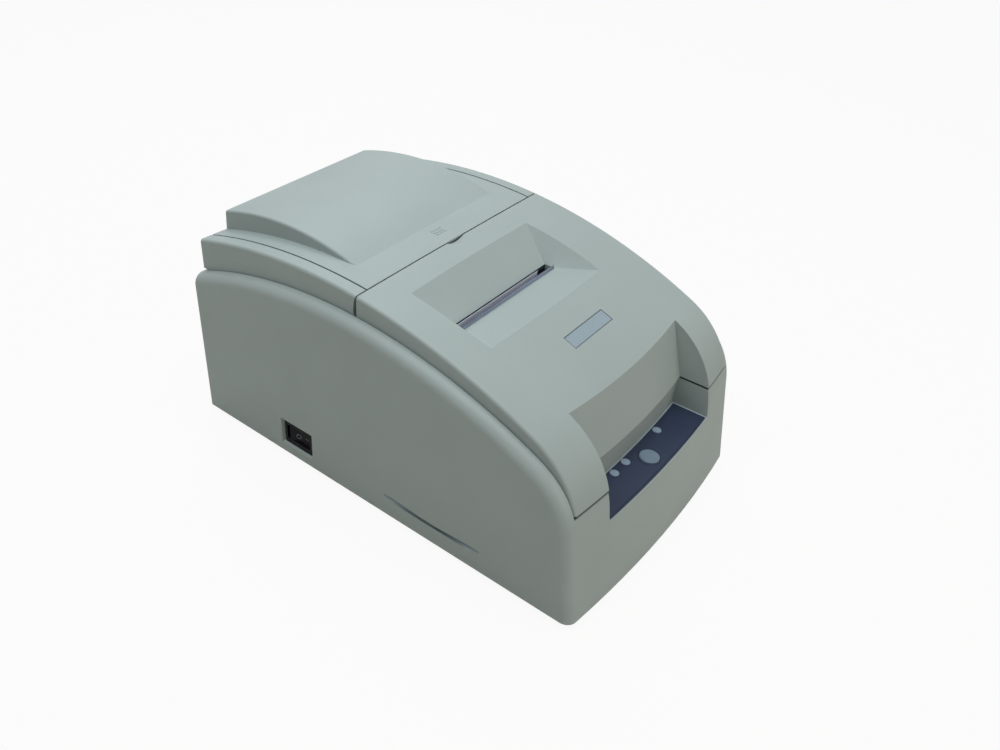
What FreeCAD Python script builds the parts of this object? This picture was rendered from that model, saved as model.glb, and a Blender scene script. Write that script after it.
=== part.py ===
"""Desktop impact receipt printer: case, hinged covers, print mechanism and paper.

Frame: X to the printer's right, front towards -Y, Z up, origin under the middle of the feet. Sizes in mm.
"""
import FreeCAD, Part
import math
import os
from FreeCAD import Vector as V

# Overall case: the depth follows from the front cover, the roll bin and the room round it
WIDTH = 160.0
FOOT_HEIGHT = 4.0
WALL = 2.5
FRONT_BOW = 4.6
FRONT_LEAN = 10.6
COVER_DEPTH = 138.9
ROLL_R = 37.0
ROLL_ROOM = 4.0
BIN_AHEAD = 13.6
BIN_BEHIND = 8.5
SEAM_GAP = 0.35
FIT = 0.05
RUN_GAP = 0.3
ROOTED = 0.5
OVERRUN = 6.0

# Side profile of the tub's shoulders: one large arc, then a round into the leaning front
HEAD_ROOM = 25.6
SHOULDER_APEX_BEHIND = 7.1
SHOULDER_R = 264.0
SHOULDER_ROUND = 40.0
SHOULDER_FILLET = 5.5
LEDGE = 6.7
LIP_REACH = 2.7
REAR_WALL_DROP = 16.6

# Side profile of the roof
ROOF_RISE = 11.4
ROOF_APEX_BEHIND = 23.1
ROOF_R = 290.0
ROOF_ROUND = 48.0
ROOF_FILLET = 1.5

# Parting lines of the covers
SPLIT_GAP = 0.8
SPLIT_Z = 61.2
SPLIT_SEAM = 0.7
RAIL_WIDTH = 8.2
LID_SIDE_GAP = 1.0
COVER_SWING_GAP = 0.35

# Raised hump of the roll cover
HUMP_MARGIN = 9.7
HUMP_SHIFT = 3.0
HUMP_RISE = 5.6
HUMP_R = 165.0
HUMP_DRAFT = 3.2
HUMP_FILLET = 1.2
HUMP_START = 4.0
RIB_COUNT = 3
RIB_LENGTH = 7.0
RIB_PITCH = 1.9
RIB_BEHIND = 7.9
RIB_R = 0.5
RIB_SUNK = 0.15

# Hinges of the two covers
LID_BARREL_R = 4.0
LID_AXIS_DROP = 3.67
LID_PIN_R = 1.5
LID_PIN_INSIDE = 12.0
HINGE_AHEAD = 15.0
HINGE_DROP = 5.83
TRUNNION_R = 1.5
POST_R = 2.4
POST_THICK = 3.0
POST_FOOT = 27.6
ARM_ROOT = 4.0
NOTCH_R = 8.0
NOTCH_LENGTH = 5.0
NOTCH_DEPTH = 1.9

# Finger recess and control panel pocket, with distances back from the front
HORN_WIDTH = 23.9
RECESS_TOP_BACK = 34.9
RECESS_LOW_BACK = 25.4
RECESS_TOP_Z = 90.5
RECESS_BOW = 2.8
POCKET_BACK = 27.3
PANEL_Z = 45.0
LABEL_THICK = 0.35
LABEL_MARGIN = 0.5
LABEL_FRONT_MARGIN = 1.2
LENS_R = 2.2
LENS_BACK = 23.6
LENS_X = (22.0, -9.5, -20.0)
LENS_PROUD = 0.35
BUTTON_R = 4.9
BUTTON_X = 1.0
BUTTON_BACK = 16.7
BUTTON_PROUD = 1.3
BUTTON_FLANGE = 1.3
BUTTON_FLANGE_T = 1.7
BUTTON_TRAVEL = 1.0
BUTTON_CHAMFER = 0.5
TACT_HALF = 3.1
TACT_PLUNGER_R = 1.7
TACT_PROUD = 0.5

# Exit well, slot and name plate in the front cover
WELL_X = -5.3
SLOT_FRONT_BACK = 99.5
SLOT_LENGTH = 5.9
SLOT_HALF = 38.8
SLOT_DROP = 10.9
WELL_BEHIND = 18.9
WELL_AHEAD = 22.1
WELL_REAR_FLARE = 8.1
WELL_FRONT_FLARE = 7.4
BAR_THICK = 0.6
BAR_HEIGHT = 7.0
BAR_PROUD = 0.5
BAR_END_GAP = 0.5
TOOTH_PITCH = 1.5
TOOTH_DEPTH = 0.9
PLATE_HALF = 16.5
PLATE_BACK = 59.2
PLATE_LENGTH = 7.0
PLATE_DEPTH = 0.6
PLATE_SUNK = 0.1

# Power switch in the left wall
SWITCH_AHEAD = 71.4
SWITCH_Z = 18.0
SWITCH_HALF_Y = 11.6
SWITCH_HALF_Z = 8.4
SWITCH_DEPTH = 4.5
SWITCH_BEVEL = 1.7
SWITCH_LIP_Y = 0.5
SWITCH_LIP_Z = 0.8
SWITCH_FLANGE_T = 1.0
SWITCH_BACK = 4.0
TERMINAL_APART = 10.0
TERMINAL_LENGTH = 6.0
TERMINAL_WIDTH = 4.8
TERMINAL_T = 0.8
ROCKER_R = 8.1
ROCKER_HALF_Z = 4.4
ROCKER_SET = 2.0
ROCKER_PIN_R = 1.0
ROCKER_PIN_REACH = 0.7
ROCKER_TILT = 7.0
ROCKER_PROUD = 4.6
ROCKER_DISH = 1.0
ROCKER_DEEP = 3.0

# Finger groove along each side wall
GROOVE_BACK = 85.2
GROOVE_Z = 15.6
GROOVE_LENGTH = 58.5
GROOVE_DEPTH = 2.6
GROOVE_RIM_R = 1.4
GROOVE_TILT = 35.0

# Paper
PAPER_INSET = 0.5
PAPER_WIDTH = 66.5
PAPER_THICK = 0.2
PAPER_BEHIND_BAR = 3.5
PAPER_RISE = 20.5
PAPER_PROUD = 1.5
PAPER_BEND_R = 9.0
CORE_R = 8.5
CORE_WALL = 2.0
BIN_DROP = 28.6
BIN_LIP_ANGLE = 208.0
PAPER_LEAVE_ANGLE = 220.0

# Mechanism frame, set from the side walls, the front and the floor
BASE_RISE = 17.5
PLATE_T = 1.5
MECH_SIDE = 20.0
MECH_BACK = 34.0
MECH_SPARE = 2.1
EAR_LENGTH = 11.0
EAR_REACH = 8.0
BOSS_R = 4.0
BOARD_BOSS_R = 3.0
PANEL_BOSS_R = 2.6
SCREW_R = 1.6
SCREW_HEAD_R = 3.2
SCREW_HEAD = 2.0
CASE_SCREW_IN = 5.0
CASE_SCREW_DROP = 8.0
CASE_SCREW_SUNK = 1.4
TAB_HALF = 6.0
SMALL_SCREW_R = 1.4
SMALL_HEAD_R = 2.8
SMALL_HEAD = 1.7
TINY_SCREW_R = 1.2
TINY_HEAD_R = 2.4
TINY_HEAD = 1.6

# Print carriage, built up from the mechanism base and forward from the paper
SHAFT_R = 3.0
SHAFT_AHEAD = 23.0
SHAFT_DROP = 4.0
CARRIAGE_HALF = 16.0
CARRIAGE_OVER = 4.0
CARRIAGE_BEHIND = 10.0
CARRIAGE_STEP = 4.0
CARRIAGE_HOOK = 4.0
CARRIAGE_HOOK_T = 2.2
RAIL_AHEAD = 20.0
RAIL_T = 1.5
RAIL_RISE = 18.5
RAIL_HEIGHT = 12.0
PRINT_RISE = 12.0
PLATEN_HEIGHT = 12.0
PLATEN_DEPTH = 6.0
CHUTE_T = 1.2
CHUTE_GAP = 0.5
RIBBON_WIDTH = 13.0
RIBBON_THICK = 0.2
HEAD_HALF = 13.0
HEAD_HEIGHT = 24.0
FIN_COUNT = 5
FIN_LOW = 4.0

# Carriage drive
PULLEY_SIDE = 15.5
PULLEY_AHEAD = 12.0
PULLEY_R = 5.0
PULLEY_FLANGE = 1.4
PULLEY_FLANGE_T = 1.0
PULLEY_TEETH = 16
BELT_T = 0.8
BELT_RISE = 2.3
BELT_H = 4.5
MOTOR_R = 14.0
MOTOR_H = 18.0
MOTOR_SHAFT_R = 1.5

# Ribbon cassette
CASSETTE_GAP = 2.25
CASSETTE_AHEAD = 17.0
CASSETTE_LENGTH = 19.0
CASSETTE_LIFT = 2.0
CASSETTE_HEIGHT = 21.0
CASSETTE_FILLET = 2.0
CASSETTE_ARM = 6.5
CASSETTE_ARM_HALF = 8.0
KNOB_R = 7.0
KNOB_SIDE = 17.0
KNOB_H = 4.7
KNOB_STEM_R = 2.0
KNOB_STEM = 5.0
KNOB_TEETH = 18
KNOB_GRIP = 0.9

# Paper feed
FEED_BEHIND = 19.0
FEED_R = 7.0
FEED_SHAFT_R = 2.5
PINCH_R = 4.0
PINCH_SHAFT_R = 1.5
ROLLER_LENGTH = 20.0
ROLLER_X = (-34.0, 3.0)
GEAR_MODULE = 1.0
GEAR_TEETH = 36
PINION_TEETH = 14
GEAR_WIDTH = 5.0
GEAR_OUT = 1.75
GEAR_ANGLE = 22.0
GEAR_BACKLASH = 0.3
GEAR_ADDENDUM = 0.9
GEAR_DEDENDUM = 1.2
MESH_SLACK = 0.15

# Boards and sockets
BOARD_T = 1.6
BOARD_RISE = 6.0
BOARD_SIDE = 24.0
BOARD_BACK = 64.0
BOARD_AHEAD = 14.0
BOARD_SCREW_IN = 6.0
BOARD_SCREW_AHEAD = 18.0
PANEL_BOARD_DROP = 10.0
PANEL_BOARD_END = 13.0
PANEL_BOARD_FRONT = 5.0
PANEL_BOARD_REAR = 6.0
PANEL_SCREW_IN = 5.0
PANEL_SCREW_BEHIND = 2.4
CHIPS = ((-14.0, 50.0, 28.0, 28.0, 2.4), (-44.0, 64.0, 10.0, 22.0, 2.2), (26.0, 56.0, 18.0, 10.0, 2.6),
         (-40.0, 20.0, 22.0, 7.0, 5.0))
CAPACITOR_X = (-6.0, 8.0, 22.0)
CAPACITOR_AHEAD = 48.0
CAPACITOR_R = 5.0
CAPACITOR_H = 8.0
SOCKET_INSET = 0.5
SOCKET_BEHIND = 4.0
DRAWER_IN = 11.0
DRAWER_HALF = 7.0
DRAWER_H = 12.0
JACK_DEPTH = 10.0
JACK_HALF = 5.0
JACK_LATCH_HALF = 2.0
POWER_IN = 13.0
POWER_HALF = 7.0
POWER_H = 14.0
INLET_R = 5.4
INLET_DEPTH = 9.0
PRONG_R = 0.8
PRONG_CIRCLE = 2.4
INTERFACE_X = -2.0
INTERFACE_HALF = 27.0
INTERFACE_H = 12.5
INTERFACE_EAR = 7.0
SHELL_LENGTH = 6.0
SHELL_TOP_HALF = 19.5
SHELL_LOW_HALF = 18.0
SHELL_HEIGHT = 8.4
POST_NUT_R = 2.4
POST_NUT_IN = 3.5
POST_NUT_SUNK = 1.5
BRACKET_T = 1.0
PIN_COUNT = 25
PIN_PITCH = 2.77
PIN_ROW = 2.84
PIN_HOLE = 1.0
PIN_DEPTH = 5.0
FOOT_R = 8.0
FOOT_CHAMFER = 0.8
FOOT_SIDE = 14.0
FOOT_BACK = 20.0
FOOT_AHEAD = 16.0

# Values worked out from the sizes above
BIN_R = ROLL_R + ROLL_ROOM
DEPTH = COVER_DEPTH + BIN_AHEAD + 2 * (BIN_R + WALL) + BIN_BEHIND
HALF_W = WIDTH / 2
FRONT_Y = -DEPTH / 2
REAR_Y = DEPTH / 2
CASE_Z = FOOT_HEIGHT
FLOOR_Z = CASE_Z + WALL
SPLIT_Y = FRONT_Y + COVER_DEPTH
COVER_REAR_Y = SPLIT_Y - SPLIT_GAP / 2
LID_FRONT_Y = SPLIT_Y + SPLIT_GAP / 2
SEAM_HALF = HALF_W - LEDGE
ROOF_HALF = SEAM_HALF - SEAM_GAP
LIP_HALF = ROOF_HALF - LIP_REACH
LID_HALF = ROOF_HALF - RAIL_WIDTH
RIM_HALF = LID_HALF + LID_SIDE_GAP
HUMP_HALF = LID_HALF - HUMP_MARGIN
RECESS_HALF = ROOF_HALF - HORN_WIDTH
BOW_R = (HALF_W ** 2 + FRONT_BOW ** 2) / (2 * FRONT_BOW)
BOW_Y = FRONT_Y + BOW_R
RECESS_TOP_Y = FRONT_Y + RECESS_TOP_BACK
RECESS_LOW_Y = FRONT_Y + RECESS_LOW_BACK
POCKET_Y = FRONT_Y + POCKET_BACK
LENS_Y = FRONT_Y + LENS_BACK
BUTTON_Y = FRONT_Y + BUTTON_BACK
SLOT_FRONT_Y = FRONT_Y + SLOT_FRONT_BACK
SLOT_REAR_Y = SLOT_FRONT_Y + SLOT_LENGTH
WELL_REAR_Y = SLOT_REAR_Y + WELL_BEHIND
WELL_FRONT_Y = SLOT_FRONT_Y - WELL_AHEAD
PLATE_Y = FRONT_Y + PLATE_BACK
SWITCH_Y = REAR_Y - SWITCH_AHEAD
GROOVE_Y = FRONT_Y + GROOVE_BACK
LABEL_TOP = PANEL_Z + LABEL_THICK
SHELF_LOW = PANEL_Z - WALL
PANEL_BOARD_Z = PANEL_Z - PANEL_BOARD_DROP
PANEL_BOARD_TOP = PANEL_BOARD_Z + BOARD_T
PANEL_BOARD_LEFT = min(LENS_X) - PANEL_BOARD_END
PANEL_BOARD_RIGHT = max(LENS_X) + PANEL_BOARD_END
PAPER_LEFT = WELL_X - SLOT_HALF + PAPER_INSET
PAPER_RIGHT = PAPER_LEFT + PAPER_WIDTH
PAPER_Y = SLOT_FRONT_Y + PAPER_BEHIND_BAR
SIDE_X = HALF_W - MECH_SIDE
PLATE_IN = SIDE_X - PLATE_T / 2
PLATE_OUT = SIDE_X + PLATE_T / 2
MECH_FRONT_Y = FRONT_Y + MECH_BACK
BASE_Z = FLOOR_Z + BASE_RISE
MECH_Z = BASE_Z + PLATE_T
PAPER_FEED_Z = MECH_Z + PAPER_RISE
FEED_Y = PAPER_Y + FEED_BEHIND
GEAR_TIP_R = GEAR_MODULE * GEAR_TEETH / 2 + GEAR_ADDENDUM
MECH_REAR_Y = FEED_Y + GEAR_TIP_R + MECH_SPARE + EAR_LENGTH
FEED_Z = PAPER_FEED_Z - PAPER_THICK / 2 - RUN_GAP - FEED_R
PINCH_Z = PAPER_FEED_Z + PAPER_THICK / 2 + RUN_GAP + PINCH_R
RAIL_LOW = MECH_Z + RAIL_RISE
RAIL_HIGH = RAIL_LOW + RAIL_HEIGHT
SHAFT_Y = PAPER_Y - SHAFT_AHEAD
SHAFT_Z = RAIL_HIGH - SHAFT_DROP
RAIL_Y = SHAFT_Y - RAIL_AHEAD
CARRIAGE_TOP = RAIL_HIGH + CARRIAGE_OVER
PRINT_Z = CARRIAGE_TOP + PRINT_RISE
HEAD_TOP = CARRIAGE_TOP + HEAD_HEIGHT
PULLEY_X = SIDE_X - PULLEY_SIDE
PULLEY_Y = RAIL_Y - PULLEY_AHEAD
BELT_Z = RAIL_LOW + BELT_RISE
CASSETTE_HALF = PLATE_IN - CASSETTE_GAP
CASSETTE_FRONT = RAIL_Y - CASSETTE_AHEAD
CASSETTE_REAR = CASSETTE_FRONT + CASSETTE_LENGTH
CASSETTE_LOW = CARRIAGE_TOP + CASSETTE_LIFT
CASSETTE_HIGH = CASSETTE_LOW + CASSETTE_HEIGHT
KNOB_X = CASSETTE_HALF - KNOB_SIDE
SHOULDER_APEX_Y = SPLIT_Y + SHOULDER_APEX_BEHIND
SHOULDER_APEX_Z = CASSETTE_HIGH + HEAD_ROOM
REAR_WALL_TOP = SHOULDER_APEX_Z - REAR_WALL_DROP
ROOF_APEX_Y = SPLIT_Y + ROOF_APEX_BEHIND
ROOF_APEX_Z = SHOULDER_APEX_Z + ROOF_RISE
ROLL_Y = REAR_Y - BIN_BEHIND - WALL - BIN_R
BIN_Z = SHOULDER_APEX_Z - BIN_DROP
ROLL_Z = BIN_Z - BIN_R + ROLL_R + RUN_GAP
HUMP_APEX_Y = ROLL_Y + HUMP_SHIFT
HUMP_APEX_Z = ROOF_APEX_Z + HUMP_RISE
BOARD_Z = FLOOR_Z + BOARD_RISE
BOARD_TOP = BOARD_Z + BOARD_T
BOARD_HALF = HALF_W - BOARD_SIDE
BOARD_FRONT = FRONT_Y + BOARD_BACK
BOARD_REAR = REAR_Y - BOARD_AHEAD
FAR = 400.0


def roof_z(y):
    """Height of the roof's arc in the middle section."""
    return ROOF_APEX_Z - ROOF_R + math.sqrt(ROOF_R ** 2 - (y - ROOF_APEX_Y) ** 2)


# Hinge axes follow the roof, and so does the room that the front cover's rear edge needs about its hinge
LID_AXIS_Y = REAR_Y - LID_BARREL_R
LID_AXIS_Z = roof_z(LID_AXIS_Y) - LID_AXIS_DROP
COVER_AXIS_Y = COVER_REAR_Y - HINGE_AHEAD
COVER_AXIS_Z = roof_z(COVER_AXIS_Y) - HINGE_DROP
COVER_SWING_R = math.hypot(COVER_REAR_Y - COVER_AXIS_Y, roof_z(COVER_REAR_Y) - COVER_AXIS_Z) + COVER_SWING_GAP
POST_LOW = COVER_AXIS_Z - POST_FOOT
SLOT_Z = roof_z(SLOT_REAR_Y) - SLOT_DROP
PAPER_TOP_Z = SLOT_Z + PAPER_PROUD


def box(x0, x1, y0, y1, z0, z1):
    """Box between two corners."""
    return Part.makeBox(x1 - x0, y1 - y0, z1 - z0, V(x0, y0, z0))


def rod_x(r, x0, x1, y, z):
    """Cylinder along X."""
    return Part.makeCylinder(r, x1 - x0, V(x0, y, z), V(1, 0, 0))


def rod_y(r, x, y0, y1, z):
    """Cylinder along Y."""
    return Part.makeCylinder(r, y1 - y0, V(x, y0, z), V(0, 1, 0))


def rod_z(r, x, y, z0, z1):
    """Cylinder along Z."""
    return Part.makeCylinder(r, z1 - z0, V(x, y, z0), V(0, 0, 1))


def prism_x(points, x0, x1):
    """Polygon of (y, z) points drawn out along X."""
    corners = [V(x0, y, z) for y, z in points]
    return Part.Face(Part.makePolygon(corners + corners[:1])).extrude(V(x1 - x0, 0, 0))


def prism_z(points, z0, z1):
    """Polygon of (x, y) points drawn out along Z."""
    corners = [V(x, y, z0) for x, y in points]
    return Part.Face(Part.makePolygon(corners + corners[:1])).extrude(V(0, 0, z1 - z0))


def line(a, b):
    return Part.LineSegment(a, b).toShape()


def arc(a, b, c):
    return Part.Arc(a, b, c).toShape()


def fuse(shapes):
    """One solid from overlapping pieces."""
    return shapes[0].multiFuse(shapes[1:]).removeSplitter()


def both(maker):
    """The same piece on the left (-1) and on the right (+1)."""
    return [maker(-1), maker(1)]


def span(side, x0, x1):
    """The X interval from x0 to x1 on one side of the middle, in rising order."""
    return tuple(sorted((side * x0, side * x1)))


def save(name, shape):
    shape.exportStep("parts/" + name + ".step")


def crown_profile(apex_y, apex_z, r_top, r_round, inset):
    """Middle section: leaning front, tangent round and large top arc, all moved in by the inset."""
    lean = math.radians(FRONT_LEAN)
    along = V(0, math.sin(lean), math.cos(lean))
    inward = V(0, math.cos(lean), -math.sin(lean))
    foot = V(0, FRONT_Y, CASE_Z)
    top_centre = V(0, apex_y, apex_z - r_top)
    start = foot + inward * r_round - top_centre
    half_b = start.dot(along)
    rest = start.dot(start) - (r_top - r_round) ** 2
    climb = -half_b + math.sqrt(half_b ** 2 - rest)
    out = start + along * climb
    round_centre = top_centre + out
    out.normalize()
    middle = out - inward
    middle.normalize()
    small = r_round - inset
    large = r_top - inset
    rear_y = REAR_Y + OVERRUN
    rear_top = V(0, rear_y, top_centre.z + math.sqrt(large ** 2 - (rear_y - apex_y) ** 2))
    rear_low = V(0, rear_y, CASE_Z)
    base = foot + inward * inset
    front_low = base + along * ((CASE_Z - base.z) / along.z)
    on_front = round_centre - inward * small
    on_top = top_centre + out * large
    crest = V(0, apex_y, apex_z - inset)
    return Part.Wire([
        line(front_low, on_front),
        arc(on_front, round_centre + middle * small, on_top),
        arc(on_top, crest, rear_top),
        line(rear_top, rear_low),
        line(rear_low, front_low),
    ])


def bowed(wire, axis_y=BOW_Y):
    """Sweep a middle section round an upright axis, which is that of the front's bow unless given."""
    half = math.degrees(math.atan2(HALF_W * 1.1, axis_y - REAR_Y - OVERRUN))
    axis = V(0, axis_y, 0)
    face = Part.Face(wire)
    face.rotate(axis, V(0, 0, 1), -half)
    return face.revolve(axis, V(0, 0, 1), 2 * half)


def bowed_polygon(points, axis_y=BOW_Y):
    """Bowed solid from a polygon of (y, z) points in the middle section."""
    corners = [V(0, y, z) for y, z in points]
    return bowed(Part.makePolygon(corners + corners[:1]), axis_y)


def crown_block(profile, inset, half, rear):
    """Bowed block of a crown profile between two side planes and a rear plane."""
    return bowed(crown_profile(*profile, inset)).common(box(-half, half, -FAR, rear, 0, FAR))


def shoulder_block(inset, half, rear):
    profile = (SHOULDER_APEX_Y, SHOULDER_APEX_Z, SHOULDER_R, SHOULDER_ROUND)
    return crown_block(profile, inset, half, rear)


def roof_block(inset, half, rear):
    profile = (ROOF_APEX_Y, ROOF_APEX_Z, ROOF_R, ROOF_ROUND)
    return crown_block(profile, inset, half, rear)


def round_sides(block, half, radius):
    """Round the long edges where the crown meets the side planes."""
    edges = []
    for edge in block.Edges:
        bounds = edge.BoundBox
        on_side = min(abs(bounds.XMin), abs(bounds.XMax)) > half - 0.01 and bounds.XLength < 0.01
        low = bounds.ZMax < CASE_Z + 0.01
        rear = bounds.YMin > REAR_Y - 0.01
        if on_side and not low and not rear:
            edges.append(edge)
    return block.makeFillet(radius, edges)


def band(points, radii, thick, x0, x1):
    """Strip of even thickness along a path of (y, z) points with rounded corners, drawn out along X."""
    path = [V(0, y, z) for y, z in points]
    half = thick / 2
    sides = ([], [])
    last = [None, None]
    for i in range(len(path) - 1):
        way = path[i + 1] - path[i]
        way.normalize()
        left = V(0, -way.z, way.y)
        for k, sign in enumerate((1, -1)):
            if last[k] is None:
                last[k] = path[i] + left * (sign * half)
        if i == len(path) - 2:
            ends = [path[-1] + left * (sign * half) for sign in (1, -1)]
            for k in (0, 1):
                sides[k].append(line(last[k], ends[k]))
            last = ends
            continue
        onward = path[i + 2] - path[i + 1]
        onward.normalize()
        cross = way.y * onward.z - way.z * onward.y
        turn = 1 if cross > 0 else -1
        angle = math.acos(max(-1.0, min(1.0, way.dot(onward))))
        radius = radii[i]
        reach = radius * math.tan(angle / 2)
        enter = path[i + 1] - way * reach
        centre = enter + left * (turn * radius)
        left_out = V(0, -onward.z, onward.y)
        middle = left + left_out
        middle.normalize()
        for k, sign in enumerate((1, -1)):
            size = radius - turn * sign * half
            a = centre - left * (turn * size)
            b = centre - middle * (turn * size)
            c = centre - left_out * (turn * size)
            sides[k].append(line(last[k], a))
            sides[k].append(arc(a, b, c))
            last[k] = c
    first = [sides[k][0].Vertexes[0].Point for k in (0, 1)]
    edges = sides[0] + sides[1] + [line(first[0], first[1]), line(last[0], last[1])]
    wire = Part.Wire(Part.__sortEdges__(edges))
    strip = Part.Face(wire).extrude(V(x1 - x0, 0, 0))
    strip.translate(V(x0, 0, 0))
    return strip


def gear(teeth, y, z, x0, phase, bore):
    """Spur gear on an axis along X, with involute flanks drawn through four points each."""
    pitch = GEAR_MODULE * teeth / 2
    base = pitch * math.cos(math.radians(20))
    root = pitch - GEAR_DEDENDUM
    tip = pitch + GEAR_ADDENDUM
    start = max(base, root)
    involute = math.tan(math.radians(20)) - math.radians(20)
    half_pitch = math.pi / (2 * teeth) - GEAR_BACKLASH / (4 * pitch)
    flank = [(root, half_pitch + involute)]
    for step in range(4):
        r = start + (tip - start) * step / 3
        pressure = math.acos(min(1.0, base / r))
        flank.append((r, half_pitch + involute - (math.tan(pressure) - pressure)))
    points = []
    for tooth in range(teeth):
        middle = phase + 2 * math.pi * tooth / teeth
        for r, half in flank:
            points.append((y + r * math.cos(middle - half), z + r * math.sin(middle - half)))
        for r, half in reversed(flank):
            points.append((y + r * math.cos(middle + half), z + r * math.sin(middle + half)))
    body = prism_x(points, x0, x0 + GEAR_WIDTH)
    return body.cut(rod_x(bore, x0 - 1, x0 + GEAR_WIDTH + 1, y, z))


def frustum_x(x0, half_y0, half_z0, x1, half_y1, half_z1, y, z):
    """Tapered rectangular block between two upright planes."""
    wires = []
    for x, hy, hz in ((x0, half_y0, half_z0), (x1, half_y1, half_z1)):
        corners = [V(x, y - hy, z - hz), V(x, y + hy, z - hz), V(x, y + hy, z + hz), V(x, y - hy, z + hz)]
        wires.append(Part.makePolygon(corners + corners[:1]))
    return Part.makeLoft(wires, True, True)


def sagitta_radius(chord, rise):
    """Radius of the arc with that chord and rise."""
    return ((chord / 2) ** 2 + rise ** 2) / (2 * rise)


def groove(side):
    """Finger groove in one side wall, as a large disc with a rounded rim would mill it, slanting down inwards."""
    reach = sagitta_radius(GROOVE_LENGTH, GROOVE_DEPTH)
    tilt = math.radians(GROOVE_TILT)
    inward = V(-side * math.cos(tilt), 0, -math.sin(tilt))
    axis = V(-side * math.sin(tilt), 0, math.cos(tilt))
    mouth = V(side * HALF_W, GROOVE_Y, GROOVE_Z)
    return Part.makeTorus(reach - GROOVE_RIM_R, GROOVE_RIM_R, mouth - inward * (reach - GROOVE_DEPTH), axis)


def groove_back(side):
    """Thicker stretch of the side wall behind the finger groove."""
    return box(*span(side, HALF_W - WALL - GROOVE_DEPTH, HALF_W - WALL / 2), GROOVE_Y - GROOVE_LENGTH / 2,
               GROOVE_Y + GROOVE_LENGTH / 2, GROOVE_Z - GROOVE_DEPTH - WALL, GROOVE_Z + WALL)


def cog(count, r_tip, r_root, x, y, z0, z1):
    """Upright toothed wheel with plain trapezoid teeth."""
    points = []
    for i in range(count):
        for r, turn in ((r_tip, -0.2), (r_tip, 0.2), (r_root, 0.3), (r_root, 0.7)):
            angle = 2 * math.pi * (i + turn) / count
            points.append((x + r * math.cos(angle), y + r * math.sin(angle)))
    return prism_z(points, z0, z1)


SHOULDER = round_sides(shoulder_block(0, HALF_W, REAR_Y), HALF_W, SHOULDER_FILLET)
ROOF = round_sides(roof_block(0, ROOF_HALF, REAR_Y), ROOF_HALF, ROOF_FILLET)
MECH_BOSSES = [(s * (SIDE_X + EAR_REACH / 2), y) for s in (-1, 1)
               for y in (MECH_FRONT_Y + EAR_LENGTH / 2, MECH_REAR_Y - EAR_LENGTH / 2)]
BOARD_BOSSES = [(s * (BOARD_HALF - BOARD_SCREW_IN), y) for s in (-1, 1)
                for y in (BOARD_FRONT + BOARD_SCREW_IN, BOARD_REAR - BOARD_SCREW_AHEAD)]
PANEL_BOSSES = [(x, LENS_Y + PANEL_SCREW_BEHIND)
                for x in (PANEL_BOARD_LEFT + PANEL_SCREW_IN, PANEL_BOARD_RIGHT - PANEL_SCREW_IN)]
FEET = [(s * (HALF_W - FOOT_SIDE), y) for s in (-1, 1) for y in (FRONT_Y + FOOT_BACK, REAR_Y - FOOT_AHEAD)]
CASE_SCREWS = [(s * (LID_HALF - CASE_SCREW_IN), REAR_WALL_TOP - CASE_SCREW_DROP) for s in (-1, 1)]
SOCKETS = {
    "drawer": (DRAWER_IN - BOARD_HALF, DRAWER_HALF, DRAWER_H),
    "interface": (INTERFACE_X, INTERFACE_HALF, INTERFACE_H),
    "power": (BOARD_HALF - POWER_IN, POWER_HALF, POWER_H),
}


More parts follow.
